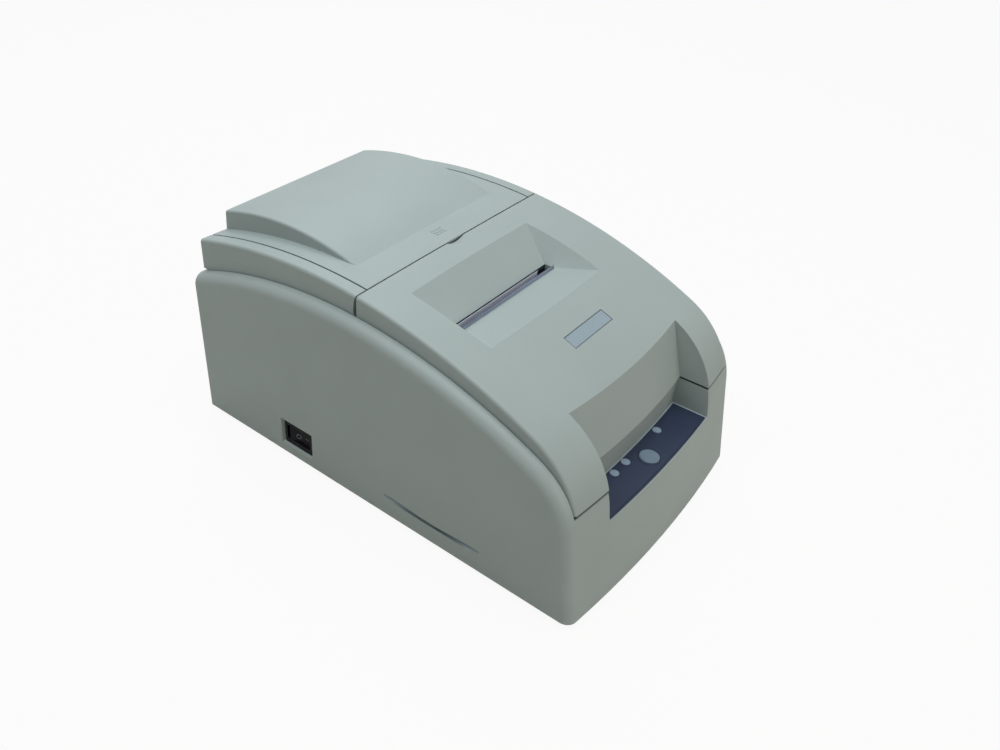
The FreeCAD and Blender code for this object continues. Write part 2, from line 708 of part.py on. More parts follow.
def lower_case():
    hollow = shoulder_block(WALL, HALF_W - WALL, REAR_Y - WALL).common(box(-FAR, FAR, -FAR, FAR, FLOOR_Z, FAR))
    tub = SHOULDER.cut(hollow)
    split = SPLIT_Z - SPLIT_SEAM / 2
    tub = tub.cut(box(-SEAM_HALF, SEAM_HALF, -FAR, REAR_Y - WALL, split, FAR))
    tub = tub.cut(box(-SEAM_HALF, SEAM_HALF, -FAR, FAR, REAR_WALL_TOP, FAR))
    # Lips under the shoulders carry the skirts of the upper case and of the front cover
    layer = shoulder_block(WALL, HALF_W - WALL / 2, REAR_Y - WALL / 2)
    layer = layer.cut(shoulder_block(2 * WALL, HALF_W, REAR_Y))
    lips = [layer.common(box(*span(s, LIP_HALF, HALF_W - WALL / 2), -FAR, REAR_Y - WALL / 2, split - 2 * WALL, FAR))
            for s in (-1, 1)]
    # Control panel pocket: shelf, back wall and cheeks follow the bowed front
    core = SHOULDER.common(box(-RECESS_HALF - WALL, RECESS_HALF + WALL, -FAR, 0, SHELF_LOW, split))
    ahead = bowed_polygon([(POCKET_Y + WALL, 0), (POCKET_Y + WALL, FAR), (-FAR, FAR), (-FAR, 0)])
    pocket = bowed_polygon([(POCKET_Y, PANEL_Z), (POCKET_Y, FAR), (-FAR, FAR), (-FAR, PANEL_Z)])
    pocket = pocket.common(box(-RECESS_HALF, RECESS_HALF, -FAR, 0, 0, FAR))
    shelf = core.common(ahead)
    bosses = [rod_z(BOSS_R, x, y, FLOOR_Z - ROOTED, BASE_Z) for x, y in MECH_BOSSES]
    bosses += [rod_z(BOARD_BOSS_R, x, y, FLOOR_Z - ROOTED, BOARD_Z) for x, y in BOARD_BOSSES]
    bosses += [rod_z(PANEL_BOSS_R, x, y, PANEL_BOARD_TOP, SHELF_LOW + ROOTED) for x, y in PANEL_BOSSES]
    # Bevelled recess for the power switch, with its own tub inside the wall
    floor_x = -HALF_W + SWITCH_DEPTH
    around = box(-HALF_W + WALL / 2, floor_x + WALL, SWITCH_Y - SWITCH_HALF_Y - WALL, SWITCH_Y + SWITCH_HALF_Y + WALL,
                 max(FLOOR_Z - ROOTED, SWITCH_Z - SWITCH_HALF_Z - WALL), SWITCH_Z + SWITCH_HALF_Z + WALL)
    tub = fuse([tub, shelf, around] + lips + bosses + both(groove_back))
    flare = SWITCH_BEVEL / SWITCH_DEPTH
    recess = frustum_x(-HALF_W - 1, SWITCH_HALF_Y + flare, SWITCH_HALF_Z + flare, floor_x,
                       SWITCH_HALF_Y - SWITCH_BEVEL, SWITCH_HALF_Z - SWITCH_BEVEL, SWITCH_Y, SWITCH_Z)
    hole_y = SWITCH_HALF_Y - SWITCH_BEVEL - SWITCH_LIP_Y
    hole_z = SWITCH_HALF_Z - SWITCH_BEVEL - SWITCH_LIP_Z
    through = box(-HALF_W, floor_x + 2 * WALL, SWITCH_Y - hole_y, SWITCH_Y + hole_y,
                  SWITCH_Z - hole_z, SWITCH_Z + hole_z)
    swing = rod_x(COVER_SWING_R, -SEAM_HALF, SEAM_HALF, COVER_AXIS_Y, COVER_AXIS_Z)
    cuts = [pocket, recess, through, swing] + both(groove)
    cuts += [rod_z(LENS_R + FIT, x, LENS_Y, PANEL_BOARD_Z, PANEL_Z + 1) for x in LENS_X]
    cuts.append(rod_z(BUTTON_R + RUN_GAP, BUTTON_X, BUTTON_Y, SHELF_LOW - 1, PANEL_Z + 1))
    cuts += [rod_z(SCREW_R + FIT, x, y, FLOOR_Z + 3, BASE_Z + 1) for x, y in MECH_BOSSES]
    cuts += [rod_z(SMALL_SCREW_R + FIT, x, y, FLOOR_Z, BOARD_Z + 1) for x, y in BOARD_BOSSES]
    cuts += [rod_z(TINY_SCREW_R + FIT, x, y, PANEL_BOARD_Z, SHELF_LOW - ROOTED) for x, y in PANEL_BOSSES]
    for x, half, height in SOCKETS.values():
        cuts.append(box(x - half - SOCKET_INSET, x + half + SOCKET_INSET, REAR_Y - 2 * WALL, REAR_Y + 1,
                        BOARD_TOP - SOCKET_INSET, BOARD_TOP + height + SOCKET_INSET))
    for x, z in CASE_SCREWS:
        cuts.append(rod_y(SCREW_R + FIT, x, REAR_Y - 2 * WALL, REAR_Y + 1, z))
        cuts.append(rod_y(SCREW_HEAD_R + FIT, x, REAR_Y - CASE_SCREW_SUNK, REAR_Y + 1, z))
    return tub.cut(cuts[0].multiFuse(cuts[1:])).removeSplitter()


def upper_case():
    inside = roof_block(WALL, ROOF_HALF - WALL, REAR_Y - WALL)
    seat = shoulder_block(WALL - FIT, HALF_W, REAR_Y - WALL)
    frame = ROOF.cut(inside).common(box(-FAR, FAR, LID_FRONT_Y, FAR, 0, FAR)).cut(seat)
    frame = frame.cut(box(-FAR, FAR, REAR_Y - WALL, FAR, 0, REAR_WALL_TOP))
    frame = frame.cut(box(-RIM_HALF, RIM_HALF, LID_FRONT_Y - 1, REAR_Y - WALL, 0, FAR))
    wall_top = LID_AXIS_Z - LID_BARREL_R - 2 * COVER_SWING_GAP
    frame = frame.cut(box(-RIM_HALF, RIM_HALF, 0, FAR, wall_top, FAR))
    # Cheeks and curved floor of the roll bin
    bin_low = BIN_Z - BIN_R - WALL
    bend_z = BIN_Z - BIN_R / 2
    foot_half = BIN_R * 2 / 3
    side_line = [(LID_FRONT_Y, POST_LOW), (ROLL_Y - BIN_R, bend_z), (ROLL_Y - foot_half, bin_low),
                 (ROLL_Y + foot_half, bin_low), (ROLL_Y + BIN_R + WALL, bend_z), (REAR_Y - WALL / 2, POST_LOW),
                 (REAR_Y - WALL / 2, FAR), (LID_FRONT_Y, FAR)]
    under = roof_block(WALL / 2, ROOF_HALF, REAR_Y)
    cheeks = [prism_x(side_line, *span(s, RIM_HALF, RIM_HALF + WALL)).common(under) for s in (-1, 1)]
    cheeks = [c.cut(box(-FAR, FAR, REAR_Y - WALL - FIT, FAR, 0, REAR_WALL_TOP)) for c in cheeks]
    inner = rod_x(BIN_R, -FAR, FAR, ROLL_Y, BIN_Z)
    trough = rod_x(BIN_R + WALL, -RIM_HALF - 1, RIM_HALF + 1, ROLL_Y, BIN_Z).cut(inner)
    lip = math.radians(BIN_LIP_ANGLE)
    lip_z = BIN_Z + BIN_R * math.sin(lip)
    lip_y = ROLL_Y + BIN_R * math.cos(lip)
    trough = trough.common(box(-FAR, FAR, -FAR, FAR, 0, BIN_Z))
    trough = trough.cut(box(-FAR, FAR, -FAR, ROLL_Y, lip_z, FAR))
    rear_y = ROLL_Y + BIN_R
    back = box(-RIM_HALF - 1, RIM_HALF + 1, rear_y, rear_y + WALL, BIN_Z - 1, wall_top)
    deck = box(-RIM_HALF - 1, RIM_HALF + 1, rear_y, REAR_Y - WALL / 2, wall_top - WALL, wall_top)
    tabs = [box(x - TAB_HALF, x + TAB_HALF, REAR_Y - 2 * WALL, REAR_Y - WALL - FIT, z - TAB_HALF, wall_top - 1)
            for x, z in CASE_SCREWS]
    frame = fuse([frame, trough, back, deck] + cheeks + tabs)
    # Room for the rear edge of the front cover, which dips as its front lifts
    frame = frame.cut(rod_x(COVER_SWING_R, -FAR, FAR, COVER_AXIS_Y, COVER_AXIS_Z))
    # Hinge posts of the front cover, reached by arms that pass below that swing
    arm_top = COVER_AXIS_Z - COVER_SWING_R - COVER_SWING_GAP
    outer = ROOF_HALF - WALL - 2 * COVER_SWING_GAP
    posts = []
    for s in (-1, 1):
        x0, x1 = span(s, outer - POST_THICK, outer)
        eye = rod_x(POST_R, x0, x1, COVER_AXIS_Y, COVER_AXIS_Z)
        stem = box(x0, x1, COVER_AXIS_Y - POST_R, COVER_AXIS_Y + POST_R, POST_LOW, COVER_AXIS_Z)
        arm = box(*span(s, RIM_HALF, outer), COVER_AXIS_Y - POST_R, LID_FRONT_Y + ARM_ROOT, POST_LOW, arm_top)
        posts += [eye, stem, arm]
    frame = fuse([frame] + posts)
    holes = [rod_x(TRUNNION_R + FIT, -FAR, FAR, COVER_AXIS_Y, COVER_AXIS_Z),
             rod_x(LID_PIN_R, -RIM_HALF - WALL - 1, RIM_HALF + WALL + 1, LID_AXIS_Y, LID_AXIS_Z)]
    holes += [rod_y(SMALL_SCREW_R, x, REAR_Y - 3 * WALL, REAR_Y - WALL, z) for x, z in CASE_SCREWS]
    return frame.cut(holes[0].multiFuse(holes[1:])).removeSplitter()


def hump(inset):
    """Raised middle of the roll cover under its own arc, with drafted sides."""
    centre = V(0, HUMP_APEX_Y, HUMP_APEX_Z - HUMP_R)
    r = HUMP_R - inset
    low = LID_AXIS_Z
    front = LID_FRONT_Y + HUMP_START
    rear = REAR_Y - inset
    tops = [V(0, y, centre.z + math.sqrt(r ** 2 - (y - HUMP_APEX_Y) ** 2)) for y in (front, HUMP_APEX_Y, rear)]
    wire = Part.Wire([arc(*tops), line(tops[2], V(0, rear, low)), line(V(0, rear, low), V(0, front, low)),
                      line(V(0, front, low), tops[0])])
    half = HUMP_HALF - inset
    body = Part.Face(wire).extrude(V(2 * half + 4, 0, 0))
    body.translate(V(-half - 2, 0, 0))
    tan = math.tan(math.radians(HUMP_DRAFT))
    deck = LID_AXIS_Z + LID_BARREL_R
    section = [V(s * (half - tan * (z - deck)), front - 1, z) for s, z in
               ((-1, low), (1, low), (1, HUMP_APEX_Z + 5), (-1, HUMP_APEX_Z + 5))]
    sides = Part.Face(Part.makePolygon(section + section[:1])).extrude(V(0, DEPTH, 0))
    body = body.common(sides)
    if inset:
        return body
    edges = [e for e in body.Edges if e.BoundBox.ZMin > deck and e.BoundBox.YLength > DEPTH / 4]
    return body.makeFillet(HUMP_FILLET, edges)


def hinge_barrel():
    """Barrel of the roll cover, squared off where it runs into the rear edge."""
    axis = V(-LID_HALF, LID_AXIS_Y, LID_AXIS_Z)
    rear = axis + V(0, LID_BARREL_R, 0)
    top = axis + V(0, 0, LID_BARREL_R)
    corner = axis + V(0, LID_BARREL_R, LID_BARREL_R)
    opposite = axis - V(0, 1, 1).normalize() * LID_BARREL_R
    wire = Part.Wire([line(rear, corner), line(corner, top), arc(top, opposite, rear)])
    return Part.Face(wire).extrude(V(2 * LID_HALF, 0, 0)).common(ROOF)


def roll_cover():
    zone = box(-LID_HALF, LID_HALF, LID_FRONT_Y, REAR_Y, LID_AXIS_Z, FAR)
    outer = ROOF.common(zone).fuse(hump(0))
    inside = roof_block(WALL, FAR, REAR_Y - WALL).common(box(-FAR, FAR, LID_FRONT_Y - 1, FAR, 0, FAR))
    lid = outer.cut(inside.fuse(hump(WALL)))
    lid = fuse([lid, hinge_barrel()])
    ribs = []
    for i in range(RIB_COUNT):
        y = LID_FRONT_Y + RIB_BEHIND + i * RIB_PITCH
        ribs.append(rod_x(RIB_R, -RIB_LENGTH / 2, RIB_LENGTH / 2, y, roof_z(y) - RIB_SUNK))
    lid = fuse([lid] + ribs)
    lid = lid.cut(rod_x(COVER_SWING_R, -FAR, FAR, COVER_AXIS_Y, COVER_AXIS_Z))
    return lid.cut(rod_x(LID_PIN_R + FIT, -FAR, FAR, LID_AXIS_Y, LID_AXIS_Z)).removeSplitter()


def well(grow):
    """Hopper-shaped exit well: a loft from the slot up past the roof."""
    low = [(SLOT_HALF, SLOT_REAR_Y + grow, SLOT_Z - grow), (SLOT_HALF, SLOT_FRONT_Y - grow, SLOT_Z - grow)]
    high = [(SLOT_HALF + WELL_REAR_FLARE, WELL_REAR_Y + grow, roof_z(WELL_REAR_Y)),
            (SLOT_HALF + WELL_FRONT_FLARE, WELL_FRONT_Y - grow, roof_z(WELL_FRONT_Y))]
    past = 1.3
    high = [tuple(a + past * (b - a) for a, b in zip(p, q)) for p, q in zip(low, high)]
    wires = []
    for rear, front in (low, high):
        corners = []
        for side, (half, y, z) in ((-1, rear), (1, rear), (1, front), (-1, front)):
            corners.append(V(WELL_X + side * (half + grow), y, z))
        wires.append(Part.makePolygon(corners + corners[:1]))
    return Part.makeLoft(wires, True, True)


def finger_recess(grow):
    """Recess above the control panel, with a leaning rear wall that has a bow of its own."""
    lean = (RECESS_TOP_Y - RECESS_LOW_Y) / (RECESS_TOP_Z - SPLIT_Z)
    low = SPLIT_Z - WALL
    high = ROOF_APEX_Z
    rear = RECESS_LOW_Y + grow * math.hypot(1, lean)
    points = [(rear + lean * (low - SPLIT_Z), low), (rear + lean * (high - SPLIT_Z), high),
              (-FAR / 2, high), (-FAR / 2, low)]
    half = RECESS_HALF + grow
    axis_y = RECESS_LOW_Y + sagitta_radius(2 * RECESS_HALF, RECESS_BOW)
    return bowed_polygon(points, axis_y).common(box(-half, half, -FAR, 0, 0, FAR))


def front_cover():
    split = SPLIT_Z + SPLIT_SEAM / 2
    zone = box(-FAR, FAR, -FAR, COVER_REAR_Y, split, FAR)
    outer = ROOF.common(zone).cut(finger_recess(0)).cut(well(0))
    inside = roof_block(WALL, ROOF_HALF - WALL, FAR).common(box(-FAR, FAR, -FAR, COVER_REAR_Y + 1, 0, FAR))
    inside = inside.cut(finger_recess(WALL)).cut(well(WALL))
    cover = outer.cut(inside)
    # Skirts stop just above the lips of the tub
    seat = shoulder_block(WALL - SEAM_GAP, HALF_W, REAR_Y)
    for s in (-1, 1):
        cover = cover.cut(seat.common(box(*span(s, ROOF_HALF - WALL - 1, HALF_W), -FAR, FAR, 0, FAR)))
    # Slot, finger notch and the pocket for the name plate
    cover = cover.cut(box(WELL_X - SLOT_HALF, WELL_X + SLOT_HALF, SLOT_FRONT_Y, SLOT_REAR_Y,
                          SLOT_Z - 3 * WALL, SLOT_Z + WALL))
    notch_y = COVER_REAR_Y - NOTCH_LENGTH + NOTCH_R
    ball = sagitta_radius(2 * NOTCH_R, NOTCH_DEPTH)
    cover = cover.cut(Part.makeSphere(ball, V(0, notch_y, roof_z(notch_y) - NOTCH_DEPTH + ball)))
    plate_zone = box(-PLATE_HALF - FIT, PLATE_HALF + FIT, PLATE_Y - PLATE_LENGTH / 2 - FIT,
                     PLATE_Y + PLATE_LENGTH / 2 + FIT, 0, FAR)
    cover = cover.cut(plate_zone.cut(roof_block(PLATE_DEPTH, ROOF_HALF, REAR_Y)))
    inner = ROOF_HALF - WALL - 2 * COVER_SWING_GAP - POST_THICK
    pins = [rod_x(TRUNNION_R, *span(s, inner, ROOF_HALF - WALL / 2), COVER_AXIS_Y, COVER_AXIS_Z) for s in (-1, 1)]
    return fuse([cover] + pins)


def name_plate():
    layer = roof_block(PLATE_SUNK, ROOF_HALF, REAR_Y).cut(roof_block(PLATE_DEPTH - FIT, ROOF_HALF, REAR_Y))
    return layer.common(box(-PLATE_HALF, PLATE_HALF, PLATE_Y - PLATE_LENGTH / 2, PLATE_Y + PLATE_LENGTH / 2,
                            SPLIT_Z, FAR))


def tear_bar():
    """Thin steel strip with saw teeth along its upper edge."""
    high = SLOT_Z + BAR_PROUD
    low = high - BAR_HEIGHT
    half = SLOT_HALF - BAR_END_GAP
    count = int(2 * half / TOOTH_PITCH)
    pitch = 2 * half / count
    points = [(-half, low), (half, low), (half, high - TOOTH_DEPTH)]
    for i in range(count):
        points.append((half - (i + 0.5) * pitch, high))
        points.append((half - (i + 1) * pitch, high - TOOTH_DEPTH))
    corners = [V(WELL_X + x, SLOT_FRONT_Y, z) for x, z in points]
    return Part.Face(Part.makePolygon(corners + corners[:1])).extrude(V(0, BAR_THICK, 0))


def panel():
    """Control panel label, lenses, feed button, its switch and board."""
    sheet = shoulder_block(LABEL_FRONT_MARGIN, RECESS_HALF - LABEL_MARGIN, REAR_Y)
    label_rear = POCKET_Y - LABEL_MARGIN
    room = bowed_polygon([(label_rear, 0), (label_rear, FAR), (-FAR, FAR), (-FAR, 0)])
    sheet = sheet.common(room).common(box(-FAR, FAR, -FAR, 0, PANEL_Z, LABEL_TOP))
    for x in LENS_X:
        sheet = sheet.cut(rod_z(LENS_R + FIT, x, LENS_Y, 0, FAR))
    save("panel_label", sheet.cut(rod_z(BUTTON_R + RUN_GAP, BUTTON_X, BUTTON_Y, 0, FAR)))
    lens_top = LABEL_TOP + LENS_PROUD
    lenses = [rod_z(LENS_R, x, LENS_Y, PANEL_BOARD_TOP, lens_top) for x in LENS_X]
    save("indicator_lenses", Part.makeCompound(lenses))
    flange_top = SHELF_LOW - RUN_GAP
    flange_low = flange_top - BUTTON_FLANGE_T
    stem = rod_z(BUTTON_R, BUTTON_X, BUTTON_Y, flange_low, LABEL_TOP + BUTTON_PROUD)
    rim = [e for e in stem.Edges if e.BoundBox.ZMin > LABEL_TOP + BUTTON_PROUD - 0.01]
    stem = stem.makeChamfer(BUTTON_CHAMFER, rim)
    save("feed_button", fuse([stem, rod_z(BUTTON_R + BUTTON_FLANGE, BUTTON_X, BUTTON_Y, flange_low, flange_top)]))
    plunger_top = flange_low - BUTTON_TRAVEL - RUN_GAP
    case = box(BUTTON_X - TACT_HALF, BUTTON_X + TACT_HALF, BUTTON_Y - TACT_HALF, BUTTON_Y + TACT_HALF,
               PANEL_BOARD_TOP, plunger_top - TACT_PROUD)
    save("tact_switch", fuse([case, rod_z(TACT_PLUNGER_R, BUTTON_X, BUTTON_Y, PANEL_BOARD_TOP, plunger_top)]))
    board = box(PANEL_BOARD_LEFT, PANEL_BOARD_RIGHT, BUTTON_Y - PANEL_BOARD_FRONT, LENS_Y + PANEL_BOARD_REAR,
                PANEL_BOARD_Z, PANEL_BOARD_TOP)
    screws = []
    for x, y in PANEL_BOSSES:
        board = board.cut(rod_z(TINY_SCREW_R + FIT, x, y, 0, FAR))
        screws.append(fuse([rod_z(TINY_HEAD_R, x, y, PANEL_BOARD_Z - TINY_HEAD, PANEL_BOARD_Z),
                            rod_z(TINY_SCREW_R, x, y, PANEL_BOARD_Z - TINY_HEAD / 2, SHELF_LOW - 2 * ROOTED)]))
    save("panel_board", board)
    save("panel_screws", Part.makeCompound(screws))


def power_switch():
    """Snap-in switch housing and its rocker, which tilts about an upright axis."""
    floor_x = -HALF_W + SWITCH_DEPTH
    flange_y = SWITCH_HALF_Y - SWITCH_BEVEL - 2 * FIT
    flange_z = SWITCH_HALF_Z - SWITCH_BEVEL - 4 * FIT
    body_y = SWITCH_HALF_Y - SWITCH_BEVEL - SWITCH_LIP_Y - FIT
    body_z = SWITCH_HALF_Z - SWITCH_BEVEL - SWITCH_LIP_Z - FIT
    axis_x = floor_x + ROCKER_SET
    back_x = axis_x + ROCKER_R + SWITCH_BACK
    flange = box(floor_x - SWITCH_FLANGE_T, floor_x, SWITCH_Y - flange_y, SWITCH_Y + flange_y,
                 SWITCH_Z - flange_z, SWITCH_Z + flange_z)
    body = box(floor_x - SWITCH_FLANGE_T / 2, back_x, SWITCH_Y - body_y, SWITCH_Y + body_y,
               SWITCH_Z - body_z, SWITCH_Z + body_z)
    housing = fuse([flange, body])
    cave_r = ROCKER_R + RUN_GAP
    cave_z = ROCKER_HALF_Z + RUN_GAP
    housing = housing.cut(rod_z(cave_r, axis_x, SWITCH_Y, SWITCH_Z - cave_z, SWITCH_Z + cave_z))
    housing = housing.cut(box(-HALF_W, axis_x, SWITCH_Y - cave_r, SWITCH_Y + cave_r,
                              SWITCH_Z - cave_z, SWITCH_Z + cave_z))
    pin_z = cave_z + ROCKER_PIN_REACH
    housing = housing.cut(rod_z(ROCKER_PIN_R + FIT, axis_x, SWITCH_Y,
                                SWITCH_Z - pin_z - FIT, SWITCH_Z + pin_z + FIT))
    terminals = []
    for s in (-1, 1):
        y = SWITCH_Y + s * TERMINAL_APART / 2
        terminals.append(box(back_x - ROOTED, back_x + TERMINAL_LENGTH, y - TERMINAL_T / 2, y + TERMINAL_T / 2,
                             SWITCH_Z - TERMINAL_WIDTH / 2, SWITCH_Z + TERMINAL_WIDTH / 2))
    save("switch_housing", fuse([housing] + terminals))
    end = ROCKER_R * 0.95
    tip_x = axis_x - ROCKER_PROUD
    deep_x = axis_x + ROCKER_DEEP
    outline = [(deep_x, SWITCH_Y - end * 0.8), (tip_x, SWITCH_Y - end), (tip_x + ROCKER_DISH, SWITCH_Y),
               (tip_x, SWITCH_Y + end), (deep_x, SWITCH_Y + end * 0.8)]
    low = SWITCH_Z - ROCKER_HALF_Z
    high = SWITCH_Z + ROCKER_HALF_Z
    rocker = prism_z(outline, low, high).common(rod_z(ROCKER_R, axis_x, SWITCH_Y, low, high))
    rocker = fuse([rocker, rod_z(ROCKER_PIN_R, axis_x, SWITCH_Y, SWITCH_Z - pin_z, SWITCH_Z + pin_z)])
    rocker.rotate(V(axis_x, SWITCH_Y, 0), V(0, 0, 1), ROCKER_TILT)
    save("rocker", rocker)


def side_plate(side):
    """Upright steel plate with bent feet, cassette rest and holes for the shafts."""
    x0, x1 = span(side, PLATE_IN, PLATE_OUT)
    outline = [(MECH_FRONT_Y, MECH_Z), (MECH_REAR_Y, MECH_Z), (MECH_REAR_Y, PINCH_Z + 12),
               (MECH_REAR_Y - 18, PINCH_Z + 16), (PAPER_Y + 14, HEAD_TOP), (SHAFT_Y - 14, HEAD_TOP),
               (MECH_FRONT_Y + 6, CASSETTE_LOW + 10), (MECH_FRONT_Y, CASSETTE_LOW)]
    parts = [prism_x(outline, x0, x1)]
    for y0 in (MECH_FRONT_Y, MECH_REAR_Y - EAR_LENGTH):
        parts.append(box(*span(side, PLATE_IN, SIDE_X + EAR_REACH), y0, y0 + EAR_LENGTH, MECH_Z, MECH_Z + PLATE_T))
    parts.append(box(*span(side, CASSETTE_HALF - 4, PLATE_OUT), CASSETTE_FRONT + 2, CASSETTE_REAR - 4,
                     CASSETTE_LOW - PLATE_T, CASSETTE_LOW))
    plate = fuse(parts)
    holes = [rod_x(SHAFT_R, -FAR, FAR, SHAFT_Y, SHAFT_Z),
             rod_x(FEED_SHAFT_R + FIT, -FAR, FAR, FEED_Y, FEED_Z),
             rod_x(PINCH_SHAFT_R + FIT, -FAR, FAR, FEED_Y, PINCH_Z)]
    holes += [rod_z(SCREW_R + FIT, x, y, 0, FAR) for x, y in MECH_BOSSES]
    if side > 0:
        y, z = pinion_centre()
        holes.append(rod_x(5.0, 0, FAR, y, z))
    return plate.cut(holes[0].multiFuse(holes[1:]))


def pinion_centre():
    reach = GEAR_MODULE * (GEAR_TEETH + PINION_TEETH) / 2 + MESH_SLACK
    angle = math.radians(GEAR_ANGLE)
    return FEED_Y + reach * math.cos(angle), FEED_Z + reach * math.sin(angle)


def mechanism_frame():
    base = box(-PLATE_OUT - 1, PLATE_OUT + 1, MECH_FRONT_Y, MECH_REAR_Y, BASE_Z, MECH_Z)
    ears = [box(*span(s, SIDE_X, SIDE_X + EAR_REACH), y0, y0 + EAR_LENGTH, BASE_Z, MECH_Z)
            for s in (-1, 1) for y0 in (MECH_FRONT_Y, MECH_REAR_Y - EAR_LENGTH)]
    base = fuse([base] + ears)
    window = box(-BOARD_HALF + 20, BOARD_HALF - 20, SHAFT_Y - 8, FEED_Y - 16, BASE_Z - 1, MECH_Z + 1)
    base = base.cut(window)
    screws = []
    for x, y in MECH_BOSSES:
        base = base.cut(rod_z(SCREW_R + FIT, x, y, 0, FAR))
        top = MECH_Z + PLATE_T
        screws.append(fuse([rod_z(SCREW_HEAD_R, x, y, top, top + SCREW_HEAD),
                            rod_z(SCREW_R, x, y, FLOOR_Z + 4, top + 1)]))
    save("mech_base", base)
    save("mech_screws", Part.makeCompound(screws))
    save("side_plate_left", side_plate(-1))
    save("side_plate_right", side_plate(1))
    face = PAPER_Y + PAPER_THICK / 2 + RUN_GAP
    save("platen", box(-PLATE_IN, PLATE_IN, face, face + PLATEN_DEPTH,
                       PRINT_Z - PLATEN_HEIGHT / 2, PRINT_Z + PLATEN_HEIGHT / 2))
    space = CHUTE_GAP + CHUTE_T / 2
    chute_y = PAPER_Y - space
    chute_z = PAPER_FEED_Z - space
    route = [(FEED_Y - FEED_R - CHUTE_T, chute_z), (chute_y, chute_z), (chute_y, PRINT_Z - PLATEN_HEIGHT / 2 - 3)]
    save("paper_chute", band(route, [PAPER_BEND_R + space], CHUTE_T, -PLATE_IN, PLATE_IN))


def carriage_group():
    save("carriage_shaft", rod_x(SHAFT_R, -PLATE_OUT - 1, PLATE_OUT + 1, SHAFT_Y, SHAFT_Z))
    save("guide_rail", box(-PLATE_IN, PLATE_IN, RAIL_Y, RAIL_Y + RAIL_T, RAIL_LOW, RAIL_HIGH))
    over = RAIL_HIGH + RUN_GAP
    near = RAIL_Y + RAIL_T + RUN_GAP
    ahead = RAIL_Y - RUN_GAP
    low = RAIL_LOW + 1.5
    hook = RAIL_HIGH - CARRIAGE_HOOK
    rear = SHAFT_Y + CARRIAGE_BEHIND
    outline = [(rear, low), (near + CARRIAGE_STEP, low), (near + CARRIAGE_STEP, hook), (near, hook), (near, over),
               (ahead, over), (ahead, hook), (ahead - CARRIAGE_HOOK_T, hook), (ahead - CARRIAGE_HOOK_T, CARRIAGE_TOP),
               (rear, CARRIAGE_TOP)]
    body = prism_x(outline, -CARRIAGE_HALF, CARRIAGE_HALF)
    run_y = PULLEY_Y + PULLEY_R + RUN_GAP + BELT_T / 2
    clip = box(-6, 6, run_y - 2.4, ahead - 1, BELT_Z - 0.8, CARRIAGE_TOP)
    clip = clip.cut(box(-7, 7, run_y - BELT_T / 2 - RUN_GAP, run_y + BELT_T / 2 + RUN_GAP,
                        0, BELT_Z + BELT_H + RUN_GAP))
    body = fuse([body, clip])
    save("carriage", body.cut(rod_x(SHAFT_R + FIT, -FAR, FAR, SHAFT_Y, SHAFT_Z)))
    back = near + 6
    front = SHAFT_Y + 8
    nose_tip = PAPER_Y - PAPER_THICK / 2 - 2 * RUN_GAP - 2 * RIBBON_THICK - 1.2
    block = box(-HEAD_HALF, HEAD_HALF, back, front, CARRIAGE_TOP, HEAD_TOP)
    gap = 2 * HEAD_HALF / (2 * FIN_COUNT + 1)
    for i in range(FIN_COUNT):
        x0 = -HEAD_HALF + gap * (2 * i + 1)
        block = block.cut(box(x0, x0 + gap, back - 1, front - 6, PRINT_Z + FIN_LOW, HEAD_TOP + 1))
    nose = prism_z([(-6, front - 1), (6, front - 1), (2, nose_tip), (-2, nose_tip)], PRINT_Z - 3, PRINT_Z + 3)
    save("print_head", fuse([block, nose]))
    motor_low = MECH_Z
    can = rod_z(MOTOR_R, -PULLEY_X, PULLEY_Y, motor_low, motor_low + MOTOR_H)
    save("carriage_motor", can.cut(rod_z(MOTOR_SHAFT_R + FIT, -PULLEY_X, PULLEY_Y, motor_low + 6, FAR)))
    flange_r = PULLEY_R + PULLEY_FLANGE
    lower = BELT_Z - RUN_GAP
    upper = BELT_Z + BELT_H + RUN_GAP
    bottom = lower - PULLEY_FLANGE_T
    top = upper + PULLEY_FLANGE_T

    def pulley(x):
        return fuse([rod_z(flange_r, x, PULLEY_Y, bottom, lower), rod_z(flange_r, x, PULLEY_Y, upper, top),
                     cog(PULLEY_TEETH, PULLEY_R, PULLEY_R - BELT_T, x, PULLEY_Y, bottom, top)])

    save("drive_pulley", fuse([pulley(-PULLEY_X), rod_z(MOTOR_SHAFT_R, -PULLEY_X, PULLEY_Y, motor_low + 7, top)]))
    save("idler_pulley", pulley(PULLEY_X).cut(rod_z(MOTOR_SHAFT_R + FIT, PULLEY_X, PULLEY_Y, 0, FAR)))
    save("idler_stud", fuse([rod_z(2 * MOTOR_SHAFT_R, PULLEY_X, PULLEY_Y, MECH_Z, bottom - RUN_GAP),
                             rod_z(MOTOR_SHAFT_R, PULLEY_X, PULLEY_Y, MECH_Z, top + ROOTED)]))
    r_in = PULLEY_R + RUN_GAP
    r_out = r_in + BELT_T

    def loop(r):
        ends = [rod_z(r, x, PULLEY_Y, BELT_Z, BELT_Z + BELT_H) for x in (-PULLEY_X, PULLEY_X)]
        return fuse(ends + [box(-PULLEY_X, PULLEY_X, PULLEY_Y - r, PULLEY_Y + r, BELT_Z, BELT_Z + BELT_H)])

    save("timing_belt", loop(r_out).cut(loop(r_in)))


